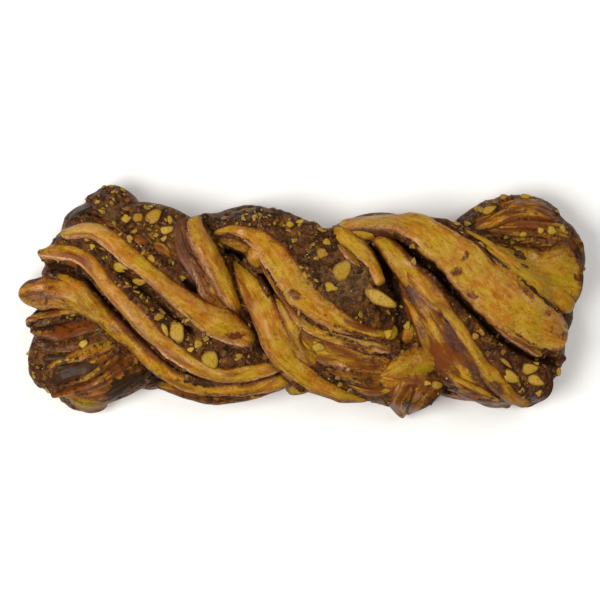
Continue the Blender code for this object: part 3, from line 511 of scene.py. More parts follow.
def soft_top(plan):
    """The softened height of the highest top over places in plan."""
    place = np.clip(plan + np.array(MAP_REACH), 0, np.array(TOP_MAP.shape) - 1.001)
    column, row = place.astype(int).T
    right, up = (place - place.astype(int)).T
    near = TOP_MAP[column, row] * (1 - up) + TOP_MAP[column, row + 1] * up
    far = TOP_MAP[column + 1, row] * (1 - up) + TOP_MAP[column + 1, row + 1] * up
    return near * (1 - right) + far * right


def eased(values, distances, reach=4.0):
    """Values along a strip, each averaged with its neighbours."""
    weights = np.exp(-((distances[:, None] - distances[None]) / reach)**2)
    weights /= weights.sum(1, keepdims=True)
    return weights @ values


def ground(name, plan):
    """The height of what a strip stands on."""
    return soft_top(plan) if name == "top" else roll_top(name, plan)


def ground_normals(name, plan, reach=2.0):
    """The directions that the ground of a strip looks in."""
    slope_x = (ground(name, plan + [reach, 0]) - ground(name, plan - [reach, 0])) / (2 * reach)
    slope_y = (ground(name, plan + [0, reach]) - ground(name, plan - [0, reach])) / (2 * reach)
    normals = np.stack([-slope_x, -slope_y, np.ones(len(plan))], 1)
    return normals / np.linalg.norm(normals, axis=1, keepdims=True)


def corner_value(cells, seed):
    """A fixed random value from -1 to 1 for each cell of a grid."""
    cells = cells.astype(np.int64)
    mixed = cells[:, 0] * 374761393 + cells[:, 1] * 668265263 + cells[:, 2] * 1442695041 + seed * 974634777
    mixed = (mixed ^ (mixed >> 13)) * 1274126177
    return ((mixed ^ (mixed >> 16)) & 0xFFFF) / 32767.5 - 1


def waves(points, size, seed):
    """Smooth noise from -1 to 1 whose bumps are about size across."""
    place = np.asarray(points, float) / size
    cell = np.floor(place)
    part = place - cell
    part = part * part * (3 - 2 * part)
    total = np.zeros(len(place))
    for corner in range(8):
        offset = np.array([corner & 1, corner >> 1 & 1, corner >> 2 & 1])
        weight = np.prod(np.where(offset, part, 1 - part), axis=1)
        total += weight * corner_value(cell + offset, seed)
    return total


def rough(points, size, seed, octaves=3):
    """Noise with finer and finer detail."""
    total = np.zeros(len(points))
    for octave in range(octaves):
        total += waves(points, size / 2**octave, seed + octave) / 2**octave
    return total / (2 - 2**(1 - octaves))


def fade(value, low, high):
    """A smooth step from 0 at low to 1 at high."""
    part = np.clip((value - low) / (high - low), 0, 1)
    return part * part * (3 - 2 * part)


def grid_faces(rows, columns, first=0):
    """Quads that join rows of vertices round a tube."""
    row = np.arange(rows - 1)[:, None] * columns
    column = np.arange(columns)[None, :]
    after = (column + 1) % columns
    corners = np.stack([row + column, row + after, row + columns + after, row + columns + column], -1)
    return (corners.reshape(-1, 4) + first).tolist()


def make_mesh(name, points, faces, attributes=None):
    """An object from points in millimetres, with float or vector attributes on its points."""
    data = bpy.data.meshes.new(name)
    data.from_pydata((np.asarray(points) * MM).tolist(), [], faces)
    for key, values in (attributes or {}).items():
        values = np.asarray(values, np.float32)
        kind = "FLOAT_VECTOR" if values.ndim == 2 else "FLOAT"
        layer = data.attributes.new(key, kind, "POINT")
        layer.data.foreach_set("vector" if values.ndim == 2 else "value", values.ravel())
    data.update()
    thing = bpy.data.objects.new(name, data)
    bpy.context.scene.collection.objects.link(thing)
    data.shade_smooth()
    return thing


def points_of(data):
    """The points of a mesh, in millimetres."""
    places = np.empty(len(data.vertices) * 3)
    data.vertices.foreach_get("co", places)
    return places.reshape(-1, 3) / MM


def normals_of(data):
    """The normals of a mesh's points."""
    normals = np.empty(len(data.vertices) * 3)
    data.vertex_normals.foreach_get("vector", normals)
    return normals.reshape(-1, 3)


def patch_values(points):
    """How strongly each kind of patch colours each point."""
    wobble = rough(points, 3.5, 61, 3) * 0.5
    values = {kind: np.zeros(len(points)) for kind in PATCH_KINDS}
    for kind, x, y, length, width, turn, strength in PATCHES:
        spin = math.radians(turn)
        offset = points[:, :2] - [x, y]
        along = (offset[:, 0] * math.cos(spin) + offset[:, 1] * math.sin(spin)) / (length / 2)
        across = (-offset[:, 0] * math.sin(spin) + offset[:, 1] * math.cos(spin)) / (width / 2)
        distance = np.hypot(along, across) + wobble
        values[kind] = np.maximum(values[kind], strength * (1 - fade(distance, 0.45, 1.3)))
    return values


def roll_shell(name):
    """The points and faces of one roll, an upright oval swept along its route."""
    roll = ROLLS[name]
    line = ROLL_LINES[name]
    length = line[1][-1]
    reach = roll["round_end"]
    distances = np.concatenate([[0.02 * reach, 0.1 * reach, 0.25 * reach, 0.5 * reach],
                                np.linspace(0.8 * reach, length - 0.8 * reach, int(length / ROLL_STEP)),
                                length - np.array([0.5, 0.25, 0.1, 0.02]) * reach])
    share = distances / length
    middle, along = place_on(line, distances)
    side = np.stack([-along[:, 1], along[:, 0]], 1)
    full = end_rounding(distances, length, reach, reach)
    angle = 2 * np.pi * np.arange(ROLL_SIDES) / ROLL_SIDES
    across = np.sign(np.cos(angle)) * np.abs(np.cos(angle))**(2 / ROLL_FULLNESS)
    up = np.sign(np.sin(angle)) * np.abs(np.sin(angle))**(2 / ROLL_FULLNESS)
    half_width = smooth_value(roll["half_width"], share) * full
    half_height = roll["half_thickness"] * (0.35 + 0.65 * full)
    plan = middle[:, None] + side[:, None] * (across[None] * half_width[:, None])[..., None]
    height = smooth_value(roll["middle"], share)[:, None] + up[None] * half_height[:, None]
    points = np.concatenate([plan, height[..., None]], -1).reshape(-1, 3)
    rows = len(distances)
    faces = grid_faces(rows, ROLL_SIDES)
    faces.append(list(range(ROLL_SIDES))[::-1])
    faces.append(list(range((rows - 1) * ROLL_SIDES, rows * ROLL_SIDES)))
    return points, faces


def end_rounding(distances, length, start_reach, end_reach):
    """How full a section is near the ends of a sweep, from 0 at the tip to 1."""
    from_start = np.clip(distances / start_reach, 0, 1)
    from_end = np.clip((length - distances) / end_reach, 0, 1)
    return np.sqrt(np.maximum(1 - (1 - from_start)**2, 0) * np.maximum(1 - (1 - from_end)**2, 0))


def mound_shell(name):
    """The points and faces of one low round mound of filling."""
    x, y, half_length, half_width, top = MOUNDS[name]
    lean = np.radians(np.linspace(-38, 86, 12))[:, None]
    turn = 2 * np.pi * np.arange(32)[None] / 32
    points = np.stack([x + half_length * np.cos(lean) * np.cos(turn), y + half_width * np.cos(lean) * np.sin(turn),
                       top * (0.45 + 0.55 * np.sin(lean)) + 0 * turn], -1).reshape(-1, 3)
    faces = grid_faces(12, 32)
    faces.append(list(range(32))[::-1])
    faces.append(list(range(11 * 32, 12 * 32)))
    return points, faces


def remeshed_rolls():
    """All rolls, mounds and the cores of the strips melted into one closed mesh of even small faces."""
    shells = [roll_shell(name) for name in ROLLS] + [mound_shell(name) for name in MOUNDS]
    shells += [strip_core(name) for name in STRIPS]
    points = []
    faces = []
    for shell_points, shell_faces in shells:
        first = len(points)
        points.extend(shell_points.tolist())
        faces.extend([[corner + first for corner in face] for face in shell_faces])
    rolls = make_mesh("rolls", points, faces)
    mesh = bmesh.new()
    mesh.from_mesh(rolls.data)
    bmesh.ops.recalc_face_normals(mesh, faces=mesh.faces)
    mesh.to_mesh(rolls.data)
    mesh.free()
    melt = rolls.modifiers.new("melt", "REMESH")
    melt.mode = "VOXEL"
    melt.voxel_size = VOXEL * MM
    relax = rolls.modifiers.new("relax", "SMOOTH")
    relax.factor = 0.6
    relax.iterations = 4
    evaluated = rolls.evaluated_get(bpy.context.evaluated_depsgraph_get())
    data = bpy.data.meshes.new_from_object(evaluated)
    bpy.data.objects.remove(rolls)
    return data


def near_route(line, plan, reach):
    """The places within reach of a line's box."""
    dense = line[0]
    low = dense.min(0) - reach
    high = dense.max(0) + reach
    return np.nonzero(((plan > low) & (plan < high)).all(1))[0]


def gap_depth(plan):
    """How deep the gaps go at places in plan, and how close each place is to the bottom of one."""
    depth = np.zeros(len(plan))
    inside = np.zeros(len(plan))
    wander = waves(np.column_stack([plan, np.zeros(len(plan))]), 9, 71)
    for gap in GAPS.values():
        line = smooth_route(gap["route"])
        here = near_route(line, plan, 10)
        distance, share = nearest_on(line, plan[here])
        half_width = smooth_value(gap["width"], share) * (0.66 + 0.2 * wander[here])
        ends = fade(np.minimum(share, 1 - share), 0, 0.08)
        near = (1 - fade(distance / half_width, 0.3, 1.3)) * ends
        depth[here] = np.maximum(depth[here], near * gap["depth"])
        inside[here] = np.maximum(inside[here], near)
    return depth, inside


def strip_fill(plan):
    """How far the filling climbs beside the strips, and how much a strip covers each place."""
    climb = np.zeros(len(plan))
    cover = np.zeros(len(plan))
    for name, strip in STRIPS.items():
        here = near_route(STRIP_LINES[name], plan, 9 + max(strip["width"]) / 2)
        distance, share = nearest_on(STRIP_LINES[name], plan[here])
        half_width = STRIP_BREADTH * smooth_value(strip["width"], share) / 2
        rise = np.maximum(smooth_value(strip["rise"], share), 0)
        climb[here] = np.maximum(climb[here], 0.5 * rise * (1 - fade(distance - half_width, 0, 9)))
        cover[here] = np.maximum(cover[here], 1 - fade(distance / half_width, 0.6, 1.0))
    return climb, cover


def make_filling():
    """The lumpy body of chocolate filling, with dough skin on its sides and underneath."""
    data = remeshed_rolls()
    points = points_of(data)
    normals = normals_of(data)
    crust = 1 - fade(points[:, 2] + 4 * rough(points, 14, 5), 9, 16)
    crust = np.maximum(crust, 1 - fade(normals[:, 2] + 0.25 * rough(points, 9, 8), -0.1, 0.3))
    on_top = fade(normals[:, 2], 0.2, 0.7)
    patches = patch_values(points)
    coarse = 1 - 0.75 * np.maximum(patches["plum"], patches["grey"] * 0.5)
    lumps = (np.abs(waves(points, 8.0, 11)) * 2.2 + np.abs(waves(points, 4.0, 12)) * 1.2
             + np.abs(waves(points, 2.2, 13)) * 0.4 - 1.5)
    fine = rough(points, 12, 21) * 0.5 + waves(points, 3.0, 22) * 0.15
    depth, inside = gap_depth(points[:, :2])
    climb, cover = strip_fill(points[:, :2])
    bare = (1 - cover) * (1 - crust)
    broad = rough(points, 16, 31) * 1.6
    raised = lumps * coarse + broad + climb * on_top * (1 - inside)
    points = points + normals * (raised * bare + fine * crust)[:, None]
    points[:, 2] -= depth * on_top * (1 - cover)
    points[:, 2] = np.maximum(points[:, 2], 0)
    faces = [list(face.vertices) for face in data.polygons]
    # deep marks the bottoms of the gaps, where painted shade goes.
    attributes = {"deep": inside * on_top, "skin": crust, "lump": lumps}
    attributes.update(patches)
    bpy.data.meshes.remove(data)
    return make_mesh("chocolate_filling", points, faces, attributes)


def strip_angles():
    """The angles of a strip's section, close together over its top."""
    top = np.linspace(-0.1 * np.pi, 1.1 * np.pi, STRIP_TOP_SIDES)
    foot = np.linspace(1.1 * np.pi, 1.9 * np.pi, STRIP_FOOT_SIDES + 2)[1:-1]
    return np.concatenate([top, foot])


def strip_stations(length, start_reach, end_reach):
    """Distances along a strip, closer together at its ends."""
    tips = np.array([0.015, 0.06, 0.14, 0.25, 0.4, 0.6, 0.8])
    count = max(4, int((length - start_reach - end_reach) / STRIP_STEP))
    return np.concatenate([tips * start_reach, np.linspace(start_reach, length - end_reach, count),
                           length - tips[::-1] * end_reach])


def seed_of(name):
    """A fixed number for a name."""
    return sum(ord(letter) * (place + 3) for place, letter in enumerate(name))


def strip_form(name, thinner=0.0):
    """The plain form of a strip: its sections, the way they face, and its measures at each section."""
    strip = STRIPS[name]
    seed = seed_of(name)
    line = STRIP_LINES[name]
    length = line[1][-1]
    ends = [strip.get("start", "round"), strip.get("end", "round")]
    reaches = [min(length * 0.4, widths * 0.5 if kind == "round" else 2.6)
               for widths, kind in ((strip["width"][1], ends[0]), (strip["width"][-2], ends[1]))]
    distances = strip_stations(length, *reaches)
    share = distances / length
    middle, along = place_on(line, distances)
    up = eased(ground_normals(strip["on"], middle), distances)
    up = up * (1 - strip.get("upright", 0.0)) + np.array([0, 0, strip.get("upright", 0.0)])
    up /= np.linalg.norm(up, axis=1, keepdims=True)
    side = np.cross(up, np.concatenate([along, np.zeros((len(along), 1))], 1))
    side /= np.linalg.norm(side, axis=1, keepdims=True)
    full = end_rounding(distances, length, *reaches)
    place = np.stack([distances, np.full(len(distances), 7.0), np.full(len(distances), seed)], 1)
    middle = middle + side[:, :2] * waves(place, 16, seed + 2)[:, None] * 0.8
    half_width = STRIP_BREADTH * smooth_value(strip["width"], share) / 2 * full
    sink = ((1 - fade(distances, 0, 11)) * (ends[0] == "sunk")
            + (1 - fade(length - distances, 0, 11)) * (ends[1] == "sunk"))
    sheet = strip.get("sheet", False)
    lowest = 0.1 if sheet else 0.5
    rise = smooth_value(strip["rise"], share) * (lowest + (1 - lowest) * full)
    rise = rise * (1 + 0.14 * waves(place, 13, seed + 5))
    rise = rise - (rise + 2.5) * sink - thinner
    half_width = np.maximum(half_width - 0.4 * thinner * full, 0.02)
    half_height = (rise + STRIP_ROOT) / 2

    angle = strip_angles()
    square = strip.get("square", 1.6 if sheet else 2.2)
    across = np.sign(np.cos(angle)) * np.abs(np.cos(angle))**(2 / square)
    lift = np.sign(np.sin(angle)) * np.abs(np.sin(angle))**(2 / square)
    ragged = [rough(place + [0, offset, 0], 13, seed, 3)[:, None] for offset in (0, 40)]
    reach = half_width[:, None] * (1 + 0.3 * np.where(across[None] > 0, *ragged))
    sideways = side[:, None] * (across[None] * reach)[..., None]
    if sheet:
        plan = (middle[:, None] + sideways[..., :2]).reshape(-1, 2)
        base = soft_top(plan).reshape(len(middle), -1)
        height = base + np.where(lift > 0, rise[:, None] * lift, STRIP_ROOT * lift)
        points = np.concatenate([plan.reshape(*base.shape, 2), height[..., None]], -1)
        above = np.where(rise[:, None] > 0, lift[None], -1)
    else:
        inwards = middle - up[:, :2] * np.maximum(rise, 0)[:, None] * CREST_SHIFT
        foot = np.concatenate([inwards, eased(ground(strip["on"], inwards), distances)[:, None]], 1)
        centre = foot + up * (rise - half_height)[:, None]
        tilt = np.where(lift > 0, 1 - 0.16 * across, 1)
        height = half_height[:, None] * (lift * tilt)[None] * (0.4 + 0.6 * full[:, None])
        points = centre[:, None] + sideways + up[:, None] * height[..., None]
        above = (half_height[:, None] * lift[None] + (rise - half_height)[:, None]) / np.maximum(rise, 1)[:, None]
    outward = side[:, None] * np.cos(angle)[None, :, None] + up[:, None] * np.sin(angle)[None, :, None]
    return dict(points=points, outward=outward, above=above, across=across, angle=angle, distances=distances,
                half_width=half_width, full=full)


def tube_faces(rows, columns, first=0):
    """The faces of a tube of sections with both ends closed."""
    faces = grid_faces(rows, columns, first)
    faces.append([first + corner for corner in range(columns)][::-1])
    faces.append([first + (rows - 1) * columns + corner for corner in range(columns)])
    return faces


def strip_core(name):
    """The points and faces of a strip made thinner, which the filling clings to."""
    points = strip_form(name, 1.1)["points"]
    return points.reshape(-1, 3), tube_faces(*points.shape[:2])


def sweep_strip(name, first):
    """The points, faces and attributes of one strip of dough."""
    strip = STRIPS[name]
    seed = seed_of(name)
    form = strip_form(name)
    rows, columns = form["points"].shape[:2]
    flat = form["points"].reshape(-1, 3)
    run = np.repeat(form["distances"], columns)
    round_share = np.tile(form["across"], rows)
    width_here = np.repeat(form["half_width"], columns)
    upward = np.tile(np.sin(form["angle"]), rows)
    grain = np.stack([run, round_share * width_here, np.full(len(run), float(seed % 97))], 1)
    top_side = np.repeat(form["full"], columns) * fade(upward, -0.1, 0.35)
    bulges = rough(flat, 11, 41, 3) * 0.85
    streaks = rough(grain * [1 / 9, 1, 1], 2.6, seed, 3) * 0.5
    creases = np.zeros(len(run))
    for crease in strip.get("crease", []):
        wander = crease + 0.14 * waves(grain * [1, 0, 1], 17, seed + 9)
        depth = fade(waves(grain * [1, 0, 1] + [0, crease * 50, 0], 21, seed + 3), -0.5, 0.4)
        creases += np.exp(-((round_share - wander) * np.maximum(width_here, 2) / 0.6)**2) * depth
    size = np.clip(width_here / 5, 0.25, 1.25)
    shift = (bulges + streaks - 0.8 * creases) * size * top_side
    flat = flat + form["outward"].reshape(-1, 3) * shift[:, None]

    half = np.maximum(width_here, 0.5)
    from_side = (1 - np.abs(round_share)) * half
    # Painted highlight: a thin pale line just inside each edge, and a broader pale band on the left side, which faces
    # the key light.
    lip = 0.9 * np.exp(-((from_side / np.minimum(1.2, 0.3 * half) - 1) / 0.55)**2)
    lip *= 0.15 + 0.85 * fade(waves(grain * [1, 0, 1] + [0, 9, 0], 10, seed + 21), -0.3, 0.5)
    left = (0.4 * fade(-round_share, 0.4, 0.9) + lip * (round_share < 0)) * strip.get("pale", 0.1)
    right = lip * (round_share > 0) * strip.get("right_highlight", 0.0)
    # Browner towards the edges: partly the bake's colour, partly painted shade on the sides that fall away.
    browned_and_shaded = (1 - fade(from_side / np.minimum(3.4, 0.6 * half), 0.2, 1.0)) * strip.get("brown", 1.0)
    # Painted shade: the tone turns browner lower down, where less light reaches.
    lower_shade = 1 - fade(flat[:, 2], 10, 28)
    attributes = {"grain": grain, "above": form["above"].ravel(), "crease": np.clip(creases, 0, 1) * top_side,
                  "pale": (left + right) * fade(upward, -0.05, 0.25), "tone": strip["tone"] + 0.5 * lower_shade,
                  "side": browned_and_shaded}
    for kind in ("olive", "red", "plum", "stain", "slab", "burnt"):
        attributes[kind] = np.full(len(run), float(strip.get(kind, 0.0)))
    return flat, tube_faces(rows, columns, first), attributes


def make_dough(name, group):
    """All strips of one group, as one object."""
    parts = []
    first = 0
    for strip in STRIPS:
        if STRIPS[strip]["group"] == group:
            parts.append(sweep_strip(strip, first))
            first += len(parts[-1][0])
    points = np.concatenate([part[0] for part in parts])
    points[:, 2] = np.maximum(points[:, 2], 0.3)
    faces = [face for part in parts for face in part[1]]
    attributes = {key: np.concatenate([part[2][key] for part in parts]) for key in parts[0][2]}
    for kind, values in patch_values(points).items():
        if kind in attributes:
            attributes[kind] = np.maximum(attributes[kind], values)
    return make_mesh(name, points, faces, attributes)


def new_material(name):
    """A new material with its node tree and its Principled shader."""
    material = bpy.data.materials.new(name)
    material.use_nodes = True
    tree = material.node_tree
    return material, tree, tree.nodes["Principled BSDF"]


def attribute(tree, name):
    """The value of a mesh attribute."""
    node = tree.nodes.new("ShaderNodeAttribute")
    node.attribute_name = name
    return node.outputs["Fac"]


def attribute_vector(tree, name):
    """The vector of a mesh attribute."""
    node = tree.nodes.new("ShaderNodeAttribute")
    node.attribute_name = name
    return node.outputs["Vector"]


def object_place(tree):
    """The place on the object in millimetres."""
    return scaled(tree, tree.nodes.new("ShaderNodeTexCoord").outputs["Object"], (1000, 1000, 1000))


def noise(tree, vector, scale, detail=3.0, roughness=0.55):
    """A noise texture's value over a vector."""
    node = tree.nodes.new("ShaderNodeTexNoise")
    node.inputs["Scale"].default_value = scale
    node.inputs["Detail"].default_value = detail
    node.inputs["Roughness"].default_value = roughness
    tree.links.new(vector, node.inputs["Vector"])
    return node.outputs["Fac"]


def cells(tree, vector, scale):
    """A random value for each of many ragged cells, and how far each place is inside its cell."""
    wobble = tree.nodes.new("ShaderNodeTexNoise")
    wobble.inputs["Scale"].default_value = scale * 1.8
    tree.links.new(vector, wobble.inputs["Vector"])
    warp = tree.nodes.new("ShaderNodeVectorMath")
    warp.operation = "MULTIPLY_ADD"
    warp.inputs[1].default_value = (1.6 / scale, 1.6 / scale, 1.6 / scale)
    tree.links.new(wobble.outputs["Color"], warp.inputs[0])
    tree.links.new(vector, warp.inputs[2])
    pattern = tree.nodes.new("ShaderNodeTexVoronoi")
    pattern.inputs["Scale"].default_value = scale
    tree.links.new(warp.outputs["Vector"], pattern.inputs["Vector"])
    return pattern.outputs["Color"], calculated(tree, "SUBTRACT", 1.0, pattern.outputs["Distance"])


def scaled(tree, vector, scale):
    """A vector stretched by a factor on each axis."""
    node = tree.nodes.new("ShaderNodeMapping")
    node.inputs["Scale"].default_value = scale
    tree.links.new(vector, node.inputs["Vector"])
    return node.outputs["Vector"]


def stepped(tree, value, low, high, bottom=0.0, top=1.0):
    """A value smoothly mapped from low and high to bottom and top."""
    node = tree.nodes.new("ShaderNodeMapRange")
    node.interpolation_type = "SMOOTHSTEP"
    node.inputs["From Min"].default_value = low
    node.inputs["From Max"].default_value = high
    node.inputs["To Min"].default_value = bottom
    node.inputs["To Max"].default_value = top
    tree.links.new(value, node.inputs["Value"])
    return node.outputs["Result"]


def calculated(tree, operation, first, second):
    """One sum or product of two values; either may be a number."""
    node = tree.nodes.new("ShaderNodeMath")
    node.operation = operation
    for socket, value in zip(node.inputs, (first, second)):
        if isinstance(value, (int, float)):
            socket.default_value = value
        else:
            tree.links.new(value, socket)
    return node.outputs["Value"]


def colour(red, green, blue):
    """A linear colour from its everyday 0 to 255 numbers."""
    values = np.array([red, green, blue]) / 255
    linear = np.where(values <= 0.04045, values / 12.92, ((values + 0.055) / 1.055)**2.4)
    return (*linear.tolist(), 1.0)


def mixed(tree, share, first, second):
    """A blend of two colours; either may be a fixed colour."""
    node = tree.nodes.new("ShaderNodeMix")
    node.data_type = "RGBA"
    node.clamp_factor = True
    tree.links.new(share, node.inputs["Factor"])
    sockets = [socket for socket in node.inputs if socket.type == "RGBA"]
    for socket, value in zip(sockets, (first, second)):
        if isinstance(value, tuple):
            socket.default_value = value
        else:
            tree.links.new(value, socket)
    return [socket for socket in node.outputs if socket.type == "RGBA"][0]


def patched(tree, base, kind, wobble, tint, low=0.25, high=0.7, swing=0.25):
    """A colour with one kind of patch mixed in, its border broken up by noise."""
    value = calculated(tree, "ADD", attribute(tree, kind), stepped(tree, wobble, 0.3, 0.7, -swing, swing))
    return mixed(tree, stepped(tree, value, low, high), base, tint)


def bumped(tree, height, distance, strength=1.0, under=None):
    """A normal with a height's bumps."""
    node = tree.nodes.new("ShaderNodeBump")
    node.inputs["Strength"].default_value = strength
    node.inputs["Distance"].default_value = distance
    tree.links.new(height, node.inputs["Height"])
    if under is not None:
        tree.links.new(under, node.inputs["Normal"])
    return node.outputs["Normal"]


def dough_material():
    """Baked dough: golden with browner streaks along the grain, browner sides partly from painted shade, painted shade
    in the creases and lower down, chocolate and painted shade where it meets the filling, and painted highlights along
    the lit edges.
    """
    material, tree, shader = new_material("glazed_dough")
    place = object_place(tree)
    grain = attribute_vector(tree, "grain")
    broad = noise(tree, place, 0.06, 3)
    patch = noise(tree, place, 0.2, 4, 0.6)
    clump = noise(tree, place, 0.4, 4, 0.65)
    fleck = noise(tree, place, 0.7, 3, 0.6)
    streak = noise(tree, scaled(tree, grain, (0.13, 0.42, 1.0)), 1.0, 4, 0.6)
    fine = noise(tree, scaled(tree, grain, (0.4, 1.6, 1.0)), 1.0, 3)
    band = noise(tree, scaled(tree, grain, (0.05, 0.2, 1.0)), 1.0, 4, 0.62)
    warm = mixed(tree, stepped(tree, broad, 0.42, 0.58), colour(158, 120, 18), colour(156, 96, 14))
    gold = mixed(tree, stepped(tree, patch, 0.48, 0.64, 0.0, 0.45), warm, colour(170, 134, 30))
    sandy = mixed(tree, stepped(tree, streak, 0.48, 0.64, 0.0, 0.5), gold, colour(184, 142, 68))
    tone = calculated(tree, "MULTIPLY", attribute(tree, "tone"), stepped(tree, band, 0.35, 0.65, 0.1, 2.1))
    amber = mixed(tree, stepped(tree, tone, 0.05, 1.2), sandy, colour(96, 52, 12))
    streaky = mixed(tree, stepped(tree, streak, 0.47, 0.34, 0.0, 0.6), amber, colour(118, 68, 12))
    olive = patched(tree, streaky, "olive", patch, colour(140, 114, 10), 0.1, 1.2)
    red = patched(tree, olive, "red", band, colour(106, 50, 12), 0.15, 1.15, 0.4)
    sides = calculated(tree, "ADD", attribute(tree, "side"), stepped(tree, band, 0.3, 0.7, -0.3, 0.3))
    # The strip's sides turn red-brown: the bake's colour together with painted shade.
    browned_and_shaded = mixed(tree, stepped(tree, sides, 0.3, 1.0, 0.0, 0.85), red, colour(98, 48, 10))
    purple = mixed(tree, stepped(tree, clump, 0.42, 0.58), colour(52, 30, 22), colour(86, 56, 44))
    plum = patched(tree, browned_and_shaded, "plum", clump, purple, 0.2, 1.0, 0.45)
    stony = mixed(tree, stepped(tree, clump, 0.42, 0.58), colour(34, 20, 10), colour(62, 42, 26))
    slab = patched(tree, plum, "slab", band, stony, 0.25, 0.9)
    # Redder, then near black, towards the foot of each strip: chocolate smear with painted shade where it meets the
    # filling.
    wall_height = calculated(tree, "ADD", attribute(tree, "above"), stepped(tree, clump, 0.3, 0.7, -0.25, 0.25))
    reddened = mixed(tree, stepped(tree, wall_height, 0.35, 0.95, 0.9, 0.0), slab, colour(94, 42, 12))
    walled = mixed(tree, stepped(tree, wall_height, 0.05, 0.55, 0.95, 0.0), reddened, colour(52, 26, 10))
    # Painted shade in the creases.
    crease_shaded = mixed(tree, stepped(tree, attribute(tree, "crease"), 0.3, 0.9, 0.0, 0.45), walled, colour(90, 44, 10))
    flecked = mixed(tree, stepped(tree, fleck, 0.68, 0.78, 0.0, 0.3), crease_shaded, colour(104, 56, 14))
    # Painted highlight: pale pink along the lit edges of the strips and on the pale patches.
    highlight_share = calculated(tree, "MULTIPLY", attribute(tree, "pale"), stepped(tree, fine, 0.38, 0.58, 0.3, 1.0))
    pale = mixed(tree, highlight_share, flecked, colour(206, 158, 112))
    stained = patched(tree, pale, "stain", clump, colour(86, 38, 18), 0.1, 0.95, 0.4)
    # Burnt patches: dark crust, and painted shade where they are thin lines along grooves.
    final = patched(tree, stained, "burnt", clump, colour(42, 24, 12), 0.2, 0.9, 0.4)
    tree.links.new(final, shader.inputs["Base Color"])
    tree.links.new(stepped(tree, patch, 0.3, 0.7, 0.34, 0.5), shader.inputs["Roughness"])
    shader.inputs["Specular IOR Level"].default_value = 0.14
    shader.inputs["Specular Tint"].default_value = (1.0, 0.7, 0.4, 1.0)
    shader.inputs["Coat Weight"].default_value = 0.09
    shader.inputs["Coat Roughness"].default_value = 0.18
    low = bumped(tree, streak, 0.0005, 0.6)
    pitted = bumped(tree, fleck, 0.0006, 0.5, low)
    tree.links.new(bumped(tree, fine, 0.0002, 0.5, pitted), shader.inputs["Normal"])
    return material


def filling_material():
    """Chocolate filling with ground nuts, painted shade in the gaps and in the hollows between lumps, and dough skin on
    the sides.
    """
    material, tree, shader = new_material("chocolate_nut_filling")
    place = object_place(tree)
    patch = noise(tree, place, 0.2, 4, 0.6)
    clump = noise(tree, place, 0.5, 3, 0.6)
    grit = noise(tree, place, 1.1, 3, 0.7)
    chips, chip_edge = cells(tree, place, 0.42)
    crumbs, crumb_edge = cells(tree, place, 0.95)
    base = mixed(tree, stepped(tree, patch, 0.43, 0.57), colour(42, 22, 14), colour(84, 49, 24))
    ruddy = mixed(tree, stepped(tree, clump, 0.5, 0.64, 0.0, 0.55), base, colour(104, 54, 20))
    grey = patched(tree, ruddy, "grey", clump, colour(98, 72, 46), 0.1, 0.9)
    red = patched(tree, grey, "red", clump, colour(110, 50, 14))
    plum = patched(tree, red, "plum", patch, colour(84, 58, 44))
    black = mixed(tree, stepped(tree, chips, 0.36, 0.22, 0.0, 0.5), plum, colour(38, 20, 9))
    crumbly = mixed(tree, stepped(tree, crumbs, 0.72, 0.8, 0.0, 0.28), black, colour(128, 92, 34))
    burnt = mixed(tree, stepped(tree, crumbs, 0.32, 0.22, 0.0, 0.4), crumbly, colour(42, 22, 10))
    nutty = mixed(tree, stepped(tree, chips, 0.77, 0.83, 0.0, 0.5), burnt, colour(132, 94, 28))
    # Painted shade in the hollows between the lumps.
    hollow_shade = mixed(tree, stepped(tree, attribute(tree, "lump"), -0.4, -1.4, 0.0, 0.6), nutty, colour(38, 20, 10))
    # Dark patches: darker chocolate, and painted shade in the gaps beside the strips.
    dark_and_shaded = patched(tree, hollow_shade, "dark", clump, colour(38, 22, 10), 0.3, 0.9)
    # Painted shade at the bottom of the gaps.
    deep = mixed(tree, stepped(tree, attribute(tree, "deep"), 0.3, 1.0), dark_and_shaded, colour(44, 24, 12))
    crust = mixed(tree, stepped(tree, patch, 0.3, 0.7), colour(150, 96, 14), colour(84, 44, 10))
    skin = calculated(tree, "ADD", attribute(tree, "skin"), stepped(tree, patch, 0.3, 0.7, -0.3, 0.3))
    final = mixed(tree, stepped(tree, skin, 0.35, 0.65), deep, crust)
    tree.links.new(final, shader.inputs["Base Color"])
    tree.links.new(stepped(tree, grit, 0.3, 0.7, 0.34, 0.6), shader.inputs["Roughness"])
    shader.inputs["Specular IOR Level"].default_value = 0.14
    shader.inputs["Specular Tint"].default_value = (1.0, 0.7, 0.42, 1.0)
    chipped = bumped(tree, chip_edge, 0.0008, 0.3)
    tree.links.new(bumped(tree, crumb_edge, 0.0005, 0.4, chipped), shader.inputs["Normal"])
    return material


def tinted_material(name, tints, gritty, roughness):
    """A material for small things, each tinted by its own place between the tints."""
    material, tree, shader = new_material(name)
    grit = noise(tree, object_place(tree), 0.8, 3, 0.6)
    tint = attribute(tree, "tint")
    base = tints[0]
    for index, next_tint in enumerate(tints[1:]):
        middle = (index + 1) / len(tints)
        base = mixed(tree, stepped(tree, tint, middle - 0.04, middle + 0.04), base, next_tint)
    mottled = mixed(tree, stepped(tree, grit, 0.45, 0.7, 0.0, 0.6), base, gritty)
    rim = mixed(tree, stepped(tree, attribute(tree, "rim"), 0.62, 0.98, 0.0, 0.8), mottled, gritty)
    tree.links.new(rim, shader.inputs["Base Color"])
    tree.links.new(stepped(tree, grit, 0.3, 0.7, roughness, roughness + 0.2), shader.inputs["Roughness"])
    shader.inputs["Specular IOR Level"].default_value = 0.25
    tree.links.new(bumped(tree, grit, 0.0003, 0.6), shader.inputs["Normal"])
    return material


